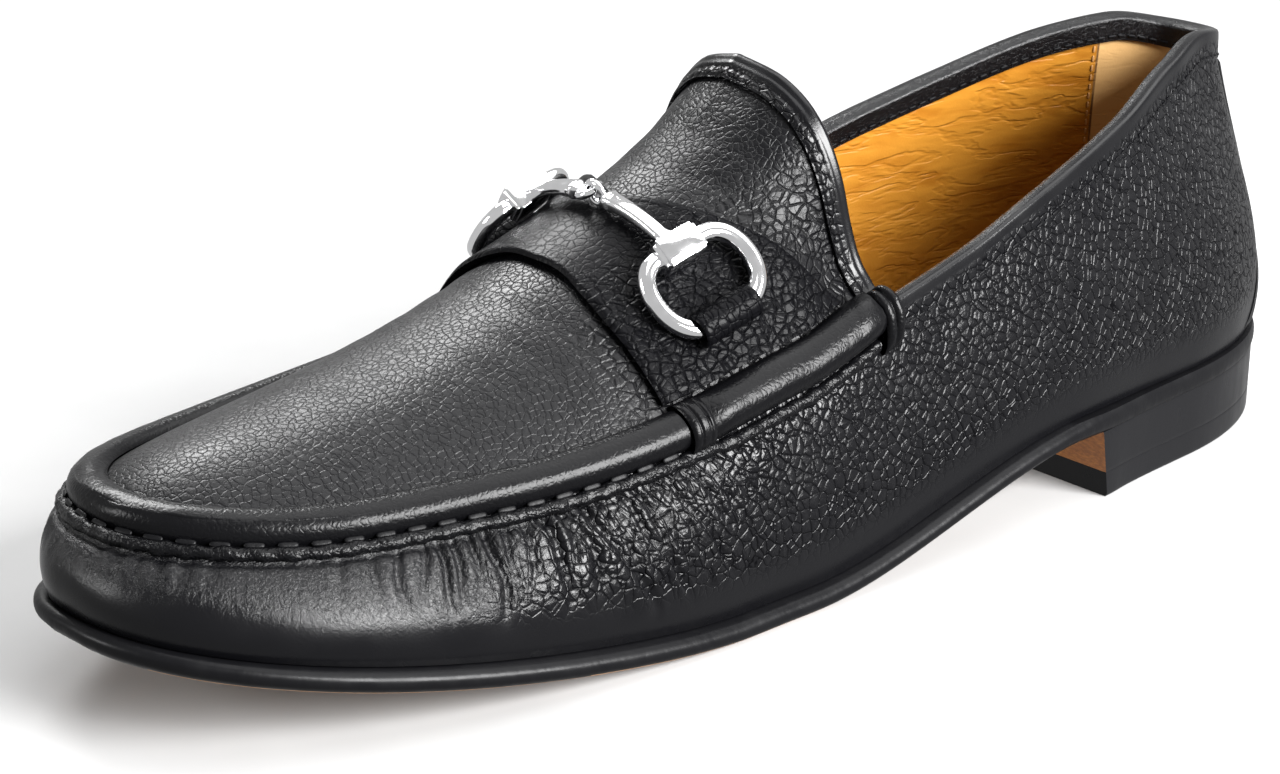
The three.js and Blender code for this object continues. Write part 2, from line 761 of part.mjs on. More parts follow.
function bitRing(side) {
  const frame = ringFrame(side);
  const { halfReach } = frame;
  const halfLength = (ringLength - ringWire) / 2;
  const foot = 0.4 * halfLength;
  const shape = new THREE.Path();
  shape.moveTo(ringCorner, -halfReach);
  shape.bezierCurveTo(0.8 * halfLength, -halfReach, halfLength, -0.6 * halfReach, halfLength, -0.05 * halfReach);
  shape.bezierCurveTo(halfLength, 0.6 * halfReach, 0.7 * halfLength, halfReach, foot, halfReach);
  shape.lineTo(-foot, halfReach);
  shape.bezierCurveTo(-0.7 * halfLength, halfReach, -halfLength, 0.6 * halfReach, -halfLength, -0.05 * halfReach);
  shape.bezierCurveTo(-halfLength, -0.6 * halfReach, -0.8 * halfLength, -halfReach, -ringCorner, -halfReach);
  const points = shape.getPoints(6);
  for (const p of points) p.x *= p.x < 0 ? ringFront : 1;
  return closedWire(frame, points, ringWire / 2);
}

function oriented(geometry, x, y, z, origin) {
  geometry.applyMatrix4(new THREE.Matrix4().makeBasis(x, y, z).setPosition(origin));
  return mergedSolid(geometry);
}

function mergedSolid(geometry) {
  const faces = [];
  const g = geometry.index ? geometry.toNonIndexed() : geometry;
  const p = g.getAttribute('position');
  for (let i = 0; i < p.count; i += 3) {
    faces.push([0, 1, 2].map((k) => new THREE.Vector3().fromBufferAttribute(p, i + k)));
  }
  return geometryOf(faces);
}

// The joint at the middle of the bit stands clear of the strap
function jointCentre() {
  const clear = strapThickness + 5 * fit;
  return new THREE.Vector3(bitAt, 0, spineHeight(bitAt) + clear + eyeRadius + eyeWire / 2);
}

function bitLink(side) {
  const frame = ringFrame(side);
  const barrelAt = inFrame(frame, 0, -frame.halfReach, 0);
  const outer = barrelDiameter / 2;
  const bore = ringWire / 2 + fit;
  const half = barrelLength / 2;
  const ease = 0.8;
  const profile = [
    [bore, -half], [outer - ease, -half], [outer, -half + ease], [outer, half - ease],
    [outer - ease, half], [bore, half], [bore, -half],
  ].map(([r, h]) => new THREE.Vector2(r, h));
  const barrel = oriented(new THREE.LatheGeometry(profile, 16), frame.out, frame.back, new THREE.Vector3()
    .crossVectors(frame.out, frame.back), barrelAt);

  const joint = jointCentre();
  const toBarrel = barrelAt.clone().sub(joint).normalize();
  const eyeAt = joint.clone().addScaledVector(toBarrel, eyeRadius / 2);
  const rise = new THREE.Vector3().crossVectors(toBarrel, frame.back).normalize();
  if (rise.z < 0) rise.negate();
  const stand = new THREE.Vector3().crossVectors(rise, toBarrel).normalize();
  // One eye lies flat and the other stands through it
  const axis = side === lateral ? stand : rise;
  const other = new THREE.Vector3().crossVectors(axis, toBarrel);
  const eye = oriented(new THREE.TorusGeometry(eyeRadius, eyeWire / 2, 6, 14), toBarrel, other, axis, eyeAt);

  const from = eyeAt.clone().addScaledVector(toBarrel, eyeRadius);
  const to = barrelAt.clone().addScaledVector(toBarrel, -(outer + bore) / 2);
  const bow = from.clone().add(to).multiplyScalar(0.5).addScaledVector(rise, 2 * linkArch);
  const bar = new THREE.ExtrudeGeometry(new THREE.Shape().absarc(0, 0, linkDiameter / 2, 0, 2 * Math.PI), {
    steps: 4, curveSegments: 5, bevelEnabled: false, extrudePath: new THREE.QuadraticBezierCurve3(from, bow, to),
  });
  const solid = [barrel, eye, mergedSolid(bar)].map(toManifold);
  return fromManifold(solid[0].add(solid[1]).add(solid[2]));
}

// A loop of leather about the ring's outer bar, seated on the strap
function keeper(side) {
  const frame = ringFrame(side);
  const barAt = inFrame(frame, 0, frame.halfReach, 0);
  const inner = { x: ringWire / 2 + keeperRoom, y: ringWire / 2 + fit };
  const loop = (grow) => {
    const w = inner.x + grow;
    const h = inner.y + grow;
    const outline = new THREE.Path();
    outline.absellipse(0, 0, w, h, 0, 2 * Math.PI);
    return outline.getPoints(12);
  };
  const shape = new THREE.Shape(loop(keeperLeather));
  shape.holes.push(new THREE.Path(loop(0)));
  const band = new THREE.ExtrudeGeometry(shape, { depth: keeperWidth, steps: 1, bevelEnabled: false });
  band.translate(0, 0, -keeperWidth / 2);
  const z = new THREE.Vector3().crossVectors(frame.out, frame.n);
  const solid = toManifold(oriented(band, frame.out, frame.n, z, barAt));
  return fromManifold(solid.subtract(strapEnvelope));
}

const strapEnvelope = toManifold(upperShell(2 * fit + strapThickness, wall));

const group = new THREE.Group();

function addPiece(name, geometry, { color, roughness, metalness = 0 }) {
  const mesh = new THREE.Mesh(geometry, new THREE.MeshStandardMaterial({ color, roughness, metalness }));
  mesh.name = name;
  group.add(mesh);
}

const blackLeather = { color: 0x17171a, roughness: 0.5 };
const smoothLeather = { color: 0x141416, roughness: 0.4 };
const edgeBlack = { color: 0x0d0d0f, roughness: 0.3 };
const heelBrown = { color: 0x4a2512, roughness: 0.55 };
const rubber = { color: 0x101010, roughness: 0.8 };
const tanLining = { color: 0xc69a5e, roughness: 0.6 };
const silver = { color: 0xd8d8da, roughness: 0.12, metalness: 1 };

addPiece('outsole', outsole(), edgeBlack);
addPiece('heel_stack', heelStack(), heelBrown);
addPiece('heel_top_piece', heelTopPiece(), rubber);
addPiece('insole', insole(), tanLining);
addPiece('upper', upperShell(0, wall), blackLeather);
addPiece('seam_roll', seamRoll(), smoothLeather);
addPiece('saddle_strap', saddleStrap(), smoothLeather);
addPiece('collar_binding', collarBinding(), smoothLeather);
addPiece('tongue_binding', tongueBinding(), smoothLeather);
addPiece('backstay', backstay(), smoothLeather);
for (const side of sides) {
  const name = sideName[side];
  addPiece(`side_wrap_${name}`, seamPiece(side, rearBandEnd + seamFit, wrapEnd, wrapSize), smoothLeather);
  addPiece(`front_band_${name}`, seamPiece(side, wrapEnd + seamFit, frontBandEnd, frontBandSize), smoothLeather);
  addPiece(`rear_band_${name}`, seamPiece(side, throat + seamFit, rearBandEnd, rearBandSize), smoothLeather);
  addPiece(`bit_ring_${name}`, bitRing(side), silver);
  addPiece(`bit_link_${name}`, bitLink(side), silver);
  addPiece(`keeper_${name}`, keeper(side), smoothLeather);
}

// The origin lies on the floor under the middle of the shoe
const box = new THREE.Box3().setFromObject(group);
group.position.set(-(box.min.x + box.max.x) / 2, -(box.min.y + box.max.y) / 2, -box.min.z);
group.updateMatrixWorld(true);

export default group;
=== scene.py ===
# Bit loafer, left foot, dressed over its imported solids.
# The shapes are worked out in millimetres from the back of the sole, then moved into the frame.
import math

import bpy
import numpy as np
from mathutils import Matrix, Vector


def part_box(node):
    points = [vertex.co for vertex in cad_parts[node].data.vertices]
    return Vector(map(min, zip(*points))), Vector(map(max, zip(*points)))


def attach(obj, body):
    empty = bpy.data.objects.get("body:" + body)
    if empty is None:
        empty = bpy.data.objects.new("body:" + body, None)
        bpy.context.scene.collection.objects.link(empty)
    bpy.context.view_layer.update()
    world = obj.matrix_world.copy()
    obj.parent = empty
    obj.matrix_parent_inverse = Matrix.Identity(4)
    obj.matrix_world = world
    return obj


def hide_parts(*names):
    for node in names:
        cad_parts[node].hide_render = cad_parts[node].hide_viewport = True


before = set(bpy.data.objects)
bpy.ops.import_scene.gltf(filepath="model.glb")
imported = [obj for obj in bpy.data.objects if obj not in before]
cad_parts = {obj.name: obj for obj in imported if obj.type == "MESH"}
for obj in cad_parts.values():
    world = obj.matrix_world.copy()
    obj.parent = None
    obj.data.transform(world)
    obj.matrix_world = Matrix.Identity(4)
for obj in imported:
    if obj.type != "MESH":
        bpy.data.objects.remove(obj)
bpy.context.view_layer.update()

print("frame loaded")

# The last and the sole, in millimetres
last = {
    "length": 299.0, "halfBall": 49.5, "soleThickness": 4.0, "heelHeight": 14.5, "seatRise": 1.0,
    "toeSpring": 16.5, "springStart": 0.62, "flatStart": 0.56, "seatEnd": 0.28, "toeRim": 2.4,
    "heelRound": 0.2, "toeRound": 0.335, "toeTwist": 1.5, "toeLateral": 2.55, "toeMedial": 2.0,
    "collarHeight": 62.0, "instepHeight": 88.0, "collarBack": 14.5, "seamTip": 287.0,
    "collarRound": 0.12, "collarPower": 2.6, "seamRound": 0.3, "throat": 0.465,
    "tongueTip": 148.5, "spineEnd": 268.0, "tongueFade": 0.08, "wall": 2.2, "fit": 0.3,
}

# Sole outline: half widths as shares of half the ball, and the rim of sole that shows
soleRows = {
    "at": (0.0, 0.16, 0.3, 0.46, 0.57, 0.68, 1.0),
    "lateral": (0.7, 0.71, 0.82, 0.885, 0.93, 0.965, 0.96),
    "medial": (0.68, 0.675, 0.665, 0.76, 0.92, 1.01, 0.91),
    "rim": (0.6, 0.65, 1.05, 1.3, 1.3, 1.3, 1.0),
}
# Topline to the throat, then the seam: half widths, and height as a share of the collar's
topRows = {
    "at": (0.0, 0.05, 0.11, 0.2, 0.3, 0.39, 0.465, 0.55, 0.65, 0.75, 0.84, 0.92, 1.0),
    "lateral": (0.29, 0.3, 0.39, 0.55, 0.645, 0.685, 0.72, 0.745, 0.75, 0.705, 0.67, 0.68, 0.7),
    "medial": (0.29, 0.28, 0.39, 0.535, 0.635, 0.67, 0.68, 0.715, 0.735, 0.705, 0.69, 0.71, 0.76),
    "rise": (1.01, 1.045, 1.0, 0.885, 0.77, 0.72, 0.725, 0.66, 0.565, 0.46, 0.38, 0.315, 0.275),
}
# Fullness of the wall low down and near its top
wallRows = {
    "at": (0.0, 0.2, 0.45, 0.65, 0.85, 1.0),
    "lowOut": (0.085, 0.06, 0.05, 0.065, 0.06, 0.045),
    "lowUp": (0.3, 0.34, 0.34, 0.34, 0.42, 0.48),
    "highOut": (0.065, 0.06, 0.06, 0.1, 0.11, 0.11),
    "highDown": (0.35, 0.3, 0.28, 0.2, 0.18, 0.16),
}
# Ridge of instep and apron over the sole
spineRows = {
    "at": (0.44, 0.492, 0.517, 0.54, 0.563, 0.59, 0.615, 0.667, 0.717, 0.783, 0.85, 0.917, 0.96),
    "rise": (1.12, 1.003, 0.935, 0.873, 0.818, 0.768, 0.722, 0.635, 0.55, 0.455, 0.375, 0.3, 0.245),
}
# The tongue's free edge from the throat to its tip
tongueRows = {
    "at": (0.0, 0.1, 0.2, 0.31, 0.43, 0.56, 0.69, 0.83, 1.0),
    "lateral": (1.0, 0.84, 0.745, 0.7, 0.675, 0.615, 0.485, 0.27, 0.0),
    "medial": (1.0, 0.84, 0.74, 0.68, 0.625, 0.54, 0.4, 0.22, 0.0),
    "up": (0.0, 0.055, 0.17, 0.34, 0.52, 0.7, 0.86, 0.96, 1.0),
}
# Edges of the saddle strap from the seam to the spine
strapRows = {
    "at": (0.0, 0.35, 0.57, 0.79, 1.0),
    "rear": (0.5, 0.542, 0.56, 0.57, 0.575),
    "front": (0.664, 0.664, 0.66, 0.652, 0.648),
}

nudge = 1e-3
topRun = last["seamTip"] - last["collarBack"]


def clamp(value):
    return np.clip(value, 0.0, 1.0)


def ease(value):
    t = clamp(value)
    return t * t * (3 - 2 * t)


# From 0 to 1 over a length that begins at start
def rising(value, start, length):
    return ease((value - start) / length)


def roundEnd(share, power):
    return (1 - clamp(share) ** power) ** (1 / power)


# A smooth value between the rows of a table, never beyond the rows beside it
def readRow(table, column, at):
    xs = np.array(table["at"])
    ys = np.array(table[column])
    slopes = np.diff(ys) / np.diff(xs)
    both = slopes[:-1] * slopes[1:]
    tangents = np.empty_like(ys)
    tangents[0] = slopes[0]
    tangents[-1] = slopes[-1]
    tangents[1:-1] = np.where(both > 0, 2 * both / np.where(both > 0, slopes[:-1] + slopes[1:], 1), 0)
    at = np.clip(at, xs[0], xs[-1])
    k = np.clip(np.searchsorted(xs, at, side="right") - 1, 0, len(xs) - 2)
    run = xs[k + 1] - xs[k]
    t = (at - xs[k]) / run
    value = ys[k] * (1 + 2 * t) * (1 - t) ** 2 + ys[k + 1] * t ** 2 * (3 - 2 * t)
    return value + (1 - t) ** 2 * t * run * tangents[k] - t ** 2 * (1 - t) * run * tangents[k + 1]


# The run goes once round the shoe: 0 heel, 0 to 1 the outer side, 1 toe, 1 to 2 the inner side
def sideAt(run):
    turn = np.mod(run, 2.0)
    return np.where(turn <= 1, 1.0, -1.0), np.where(turn <= 1, turn, 2 - turn)


def bySide(side, lateral, medial):
    return np.where(side > 0, lateral, medial)


def stack(x, y, z):
    return np.stack(np.broadcast_arrays(x, y, z), axis=-1).astype(float)


def unit(vectors):
    return vectors / np.maximum(np.linalg.norm(vectors, axis=-1, keepdims=True), 1e-12)


def treadHeight(at):
    seat = last["heelHeight"] + last["seatRise"] * clamp((last["seatEnd"] - at) / last["seatEnd"])
    waist = 1 - ease((at - last["seatEnd"]) / (last["flatStart"] - last["seatEnd"]))
    spring = last["toeSpring"] * clamp((at - last["springStart"]) / (1 - last["springStart"])) ** 1.4
    return seat * waist + spring


def soleTop(x):
    return treadHeight(x / last["length"]) + last["soleThickness"]


def solePoint(run):
    side, at = sideAt(run)
    half = last["halfBall"] * bySide(side, readRow(soleRows, "lateral", at), readRow(soleRows, "medial", at))
    toeShare = (at - 1 + last["toeRound"]) / last["toeRound"]
    toe = bySide(side, roundEnd(toeShare, last["toeLateral"]), roundEnd(toeShare, last["toeMedial"]))
    heel = roundEnd((last["heelRound"] - at) / last["heelRound"], 2.05)
    return stack(at * last["length"], side * half * heel * toe - last["toeTwist"] * clamp(toeShare) ** 2, 0.0)


def outward(run):
    step = solePoint(run + 1e-4) - solePoint(run - 1e-4)
    return unit(stack(-step[..., 1], step[..., 0], 0.0))


def footPoint(run, inset=0.0):
    rim = last["toeRim"] * readRow(soleRows, "rim", sideAt(run)[1])
    return solePoint(run) - outward(run) * (rim + inset)[..., None]


def topPoint(run):
    side, at = sideAt(run)
    x = last["collarBack"] + topRun * at
    half = last["halfBall"] * bySide(side, readRow(topRows, "lateral", at), readRow(topRows, "medial", at))
    toeShare = (at - 1 + last["seamRound"]) / last["seamRound"]
    heel = roundEnd((last["collarRound"] - at) / last["collarRound"], last["collarPower"])
    rounded = half * heel * roundEnd(toeShare, 2.2)
    twist = last["toeTwist"] * 1.4 * clamp(toeShare) ** 1.5
    return stack(x, side * rounded - twist, soleTop(x) + last["collarHeight"] * readRow(topRows, "rise", at))


# The wall from the sole (v 0) to the topline or seam (v 1)
def wallPoint(run, v):
    at = sideAt(run)[1]
    n = outward(run)
    foot = footPoint(run)
    foot[..., 2] = soleTop(foot[..., 0]) + last["fit"]
    top = topPoint(run)
    height = top[..., 2] - foot[..., 2]
    low = foot + n * (readRow(wallRows, "lowOut", at) * last["collarHeight"])[..., None]
    low[..., 2] += readRow(wallRows, "lowUp", at) * height
    high = top + n * (readRow(wallRows, "highOut", at) * last["collarHeight"])[..., None]
    high[..., 2] -= readRow(wallRows, "highDown", at) * height
    v = np.broadcast_to(v, run.shape)[..., None]
    w = 1 - v
    return foot * w ** 3 + low * 3 * w * w * v + high * 3 * w * v * v + top * v ** 3


def spineHeight(x):
    return soleTop(x) + last["instepHeight"] * readRow(spineRows, "rise", x / last["length"])


def spinePoint(at):
    share = clamp((at - last["throat"]) / (1 - last["throat"]))
    x = last["tongueTip"] + (last["spineEnd"] - last["tongueTip"]) * (1 - (1 - share) ** 1.25)
    middle = last["length"] / 2
    return stack(x, -last["toeTwist"] * ease((x - middle) / (last["spineEnd"] - middle)), spineHeight(x))


# Apron, instep and tongue: across goes from the outer seam (0) over the spine (1) to the inner (2)
def apronPoint(at, across):
    at, across = np.broadcast_arrays(np.asarray(at, float), np.asarray(across, float))
    side = np.where(across <= 1, 1.0, -1.0)
    v = clamp(np.where(across <= 1, across, 2 - across))
    edge = topPoint(np.where(side > 0, at, 2 - at))
    spine = spinePoint(at)
    stand = 1 - ease((at - last["throat"]) / last["tongueFade"])
    tongue = bySide(side, readRow(tongueRows, "lateral", v), readRow(tongueRows, "medial", v))
    reach = (1 - stand) * (1 - v) + stand * tongue
    rise = (1 - stand) * (1 - (1 - v) ** 2.3) + stand * readRow(tongueRows, "up", v)
    along = (1 - stand) * v + stand * rise
    x = edge[..., 0] + (spine[..., 0] - edge[..., 0]) * along
    y = spine[..., 1] + (edge[..., 1] - spine[..., 1]) * reach
    drop = spineHeight(edge[..., 0]) - edge[..., 2]
    return stack(x, y, spineHeight(x) - drop * (1 - rise))


def wallNormal(run, v):
    alongRun = wallPoint(run + nudge, v) - wallPoint(run - nudge, v)
    climb = wallPoint(run, clamp(v + nudge)) - wallPoint(run, clamp(v - nudge))
    return unit(np.cross(climb, alongRun))


def apronNormal(at, across):
    back = np.maximum(at - nudge, last["throat"])
    ahead = np.minimum(at + nudge, 1.0)
    alongRun = apronPoint(ahead, across) - apronPoint(back, across)
    over = apronPoint(at, np.minimum(across + nudge, 2.0)) - apronPoint(at, np.maximum(across - nudge, 0.0))
    return unit(np.cross(over, alongRun))


shareSteps = 61


# In each line of points from the seam, the share of its steps that is a distance along it
def shareOf(lines, shares, back, distance):
    steps = np.linalg.norm(np.diff(lines, axis=1), axis=-1)
    gone = np.concatenate([np.zeros((len(lines), 1)), np.cumsum(steps, axis=1)], axis=1)
    rows = gone[back]
    k = np.clip((rows <= distance[..., None]).sum(-1) - 1, 0, shareSteps - 2)[..., None]
    low = np.take_along_axis(rows, k, -1)[..., 0]
    high = np.take_along_axis(rows, k + 1, -1)[..., 0]
    share = clamp((distance - low) / np.maximum(high - low, 1e-9))
    return shares[k[..., 0]] + (shares[k[..., 0] + 1] - shares[k[..., 0]]) * share


# Share of the wall or of the apron that lies a distance in millimetres from the seam
def wallShare(run, distance):
    run, distance = np.broadcast_arrays(np.asarray(run, float), np.asarray(distance, float))
    shares = np.linspace(1, 0, shareSteps)
    keys, back = np.unique(run.round(9), return_inverse=True)
    lines = wallPoint(np.repeat(keys[:, None], shareSteps, 1), shares[None, :])
    return shareOf(lines, shares, back.reshape(run.shape), distance)


def apronShare(run, distance):
    run, distance = np.broadcast_arrays(np.asarray(run, float), np.asarray(distance, float))
    shares = np.linspace(0, 1, shareSteps)
    keys, back = np.unique(run.round(9), return_inverse=True)
    keySide, keyAt = sideAt(keys)
    across = np.where(keySide[:, None] > 0, shares[None, :], 2 - shares[None, :])
    lines = apronPoint(np.repeat(keyAt[:, None], shareSteps, 1), across)
    out = shareOf(lines, shares, back.reshape(run.shape), distance)
    return np.where(sideAt(run)[0] > 0, out, 2 - out)


# A place a distance down the wall (below zero) or in over the apron (above zero) from the seam
def nearSeam(run, distance, lift):
    run, distance, lift = np.broadcast_arrays(*(np.asarray(q, float) for q in (run, distance, lift)))
    at = sideAt(run)[1]
    v = wallShare(run, np.maximum(0, -distance))
    across = apronShare(run, np.maximum(0, distance))
    down = wallNormal(run, v)
    over = apronNormal(at, across)
    blend = ease((distance + 0.8) / 1.6)[..., None]
    n = unit(down * (1 - blend) + over * blend)
    p = np.where((distance < 0)[..., None], wallPoint(run, v), apronPoint(at, across))
    return p + n * lift[..., None]


print("last ready")

# Where the source's axes lie in the frame
soleLow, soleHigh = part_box("outsole")
roundTheSole = np.linspace(0, 2, 2001)
moveBy = np.array((soleLow.x * 1000, soleHigh.y * 1000 - solePoint(roundTheSole)[:, 1].max(), 0.0))


def inFrame(points):
    return (np.asarray(points, float) + moveBy) / 1000


def deselect():
    if bpy.context.object and bpy.context.object.mode != "OBJECT":
        bpy.ops.object.mode_set(mode="OBJECT")
    bpy.ops.object.select_all(action="DESELECT")


def pick(piece):
    deselect()
    piece.select_set(True)
    bpy.context.view_layer.objects.active = piece


def takeCorners(piece):
    corners = np.empty(len(piece.data.vertices) * 3)
    piece.data.vertices.foreach_get("co", corners)
    return corners.reshape(-1, 3)


def setCorners(piece, points):
    piece.data.vertices.foreach_set("co", np.asarray(points, float).ravel())
    piece.data.update()


def setMask(piece, name, values):
    mask = piece.data.attributes.get(name) or piece.data.attributes.new(name, "FLOAT", "POINT")
    mask.data.foreach_set("value", np.asarray(values, np.float32).ravel())


def mergeDoubles(piece, distance=2e-6):
    pick(piece)
    bpy.ops.object.mode_set(mode="EDIT")
    bpy.ops.mesh.select_all(action="SELECT")
    bpy.ops.mesh.remove_doubles(threshold=distance)
    bpy.ops.object.mode_set(mode="OBJECT")


def closeAndTurnOut(piece):
    pick(piece)
    bpy.ops.object.mode_set(mode="EDIT")
    bpy.ops.mesh.select_mode(type="VERT")
    bpy.ops.mesh.select_all(action="SELECT")
    bpy.ops.mesh.fill_holes(sides=0)
    bpy.ops.mesh.select_all(action="SELECT")
    bpy.ops.mesh.normals_make_consistent(inside=False)
    bpy.ops.object.mode_set(mode="OBJECT")


def applyModifier(piece, kind, **settings):
    pick(piece)
    modifier = piece.modifiers.new(kind.lower(), kind)
    for name, value in settings.items():
        setattr(modifier, name, value)
    bpy.ops.object.modifier_apply(modifier=modifier.name)


def smooth(piece, angle=40):
    pick(piece)
    bpy.ops.object.shade_smooth_by_angle(angle=math.radians(angle))


# A grid is laid out flat, then each corner goes where place(u, w) says; u by w faces outwards
def layGrid(name, uSteps, wSteps, place, masks=None):
    deselect()
    bpy.ops.mesh.primitive_grid_add(x_subdivisions=uSteps, y_subdivisions=wSteps, size=2)
    piece = bpy.context.object
    piece.name = name
    piece.data.name = name
    flat = takeCorners(piece)
    u = (flat[:, 0] + 1) / 2
    w = (flat[:, 1] + 1) / 2
    setCorners(piece, inFrame(place(u, w)))
    for mask, values in (masks(u, w) if masks else {}).items():
        setMask(piece, mask, values)
    return piece


def join(name, pieces):
    deselect()
    for piece in pieces:
        piece.select_set(True)
    bpy.context.view_layer.objects.active = pieces[0]
    bpy.ops.object.join()
    whole = bpy.context.object
    whole.name = name
    whole.data.name = name
    return whole


def finishPiece(piece, material, slot, *nodes):
    piece.data.materials.clear()
    for each in material if isinstance(material, (list, tuple)) else [material]:
        piece.data.materials.append(each)
    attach(piece, "root")
    if nodes:
        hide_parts(*nodes)
    return piece


# Materials. Patterns read object coordinates in millimetres, or the piece's own flow map.
def addNode(tree, kind, inputs=None, **settings):
    made = tree.nodes.new(kind)
    for name, value in settings.items():
        setattr(made, name, value)
    for name, value in (inputs or {}).items():
        if isinstance(value, bpy.types.NodeSocket):
            tree.links.new(value, made.inputs[name])
        else:
            made.inputs[name].default_value = value
    return made


def maths(tree, operation, a, b=0.0):
    return addNode(tree, "ShaderNodeMath", {0: a, 1: b}, operation=operation).outputs[0]


def spread(tree, value, low, high, lowOut=0.0, highOut=1.0):
    made = addNode(tree, "ShaderNodeMapRange", {"Value": value, "From Min": low, "From Max": high,
                                                "To Min": lowOut, "To Max": highOut},
                   interpolation_type="SMOOTHSTEP")
    return made.outputs["Result"]


def blendColour(tree, share, a, b):
    made = addNode(tree, "ShaderNodeMix", data_type="RGBA")
    for socket, value in ((0, share), (6, a), (7, b)):
        if isinstance(value, bpy.types.NodeSocket):
            tree.links.new(value, made.inputs[socket])
        else:
            made.inputs[socket].default_value = value if socket == 0 else (*value, 1.0)
    return made.outputs[2]


def startMaterial(name):
    material = bpy.data.materials.new(name)
    material.use_nodes = True
    tree = material.node_tree
    return material, tree, tree.nodes["Principled BSDF"]


def millimetres(tree, stretch=(1.0, 1.0, 1.0)):
    place = addNode(tree, "ShaderNodeTexCoord").outputs["Object"]
    scale = tuple(1000.0 * s for s in stretch)
    return addNode(tree, "ShaderNodeVectorMath", {0: place, 1: scale}, operation="MULTIPLY").outputs[0]


def flowMap(tree, stretch):
    place = addNode(tree, "ShaderNodeUVMap", uv_map="flow").outputs["UV"]
    return addNode(tree, "ShaderNodeVectorMath", {0: place, 1: stretch}, operation="MULTIPLY").outputs[0]


def noiseOf(tree, place, size, detail=3.0, roughness=0.55):
    return addNode(tree, "ShaderNodeTexNoise", {"Vector": place, "Scale": 1.0 / size, "Detail": detail,
                                                "Roughness": roughness})


def warped(tree, place, size, amount):
    noise = noiseOf(tree, place, size, 2.0).outputs["Color"]
    centred = addNode(tree, "ShaderNodeVectorMath", {0: noise, 1: (0.5, 0.5, 0.5)}, operation="SUBTRACT")
    scaled = addNode(tree, "ShaderNodeVectorMath", {0: centred.outputs[0], 1: (amount,) * 3},
                     operation="MULTIPLY")
    return addNode(tree, "ShaderNodeVectorMath", {0: place, 1: scaled.outputs[0]}, operation="ADD").outputs[0]


# Cells of a pattern: their domes, 0 to 1, and the thin gaps between them, 1 in the gap
def cellShapes(tree, place, size, dome, gapWidth):
    cells = addNode(tree, "ShaderNodeTexVoronoi", {"Vector": place, "Scale": 1.0 / size},
                    feature="DISTANCE_TO_EDGE").outputs["Distance"]
    return spread(tree, cells, 0.0, dome), spread(tree, cells, 0.0, gapWidth, 1.0, 0.0)


def mask(tree, name):
    return addNode(tree, "ShaderNodeAttribute", attribute_name=name).outputs["Fac"]


def bump(tree, height, depth, normal=None, strength=1.0):
    inputs = {"Height": height, "Distance": depth / 1000, "Strength": strength}
    if normal is not None:
        inputs["Normal"] = normal
    return addNode(tree, "ShaderNodeBump", inputs).outputs["Normal"]


# The second, darker colour is painted shade for the gaps between cells and the crack lines
blackLeather = {
    "colour": (0.0014, 0.0014, 0.0018), "gapShade": (0.0004, 0.0004, 0.0005), "specular": 0.21,
    "roughness": 0.25, "cell": 2.1, "cellDepth": 0.3, "dome": 0.46, "plateau": 0.12,
    "gapWidth": 0.05, "small": 0.12, "cavity": 0.42, "fine": 0.5, "fineDepth": 0.03,
    "toeDepth": 0.26, "crackAcross": 2.0, "crackAlong": 4.6, "crackDepth": 0.16,
}
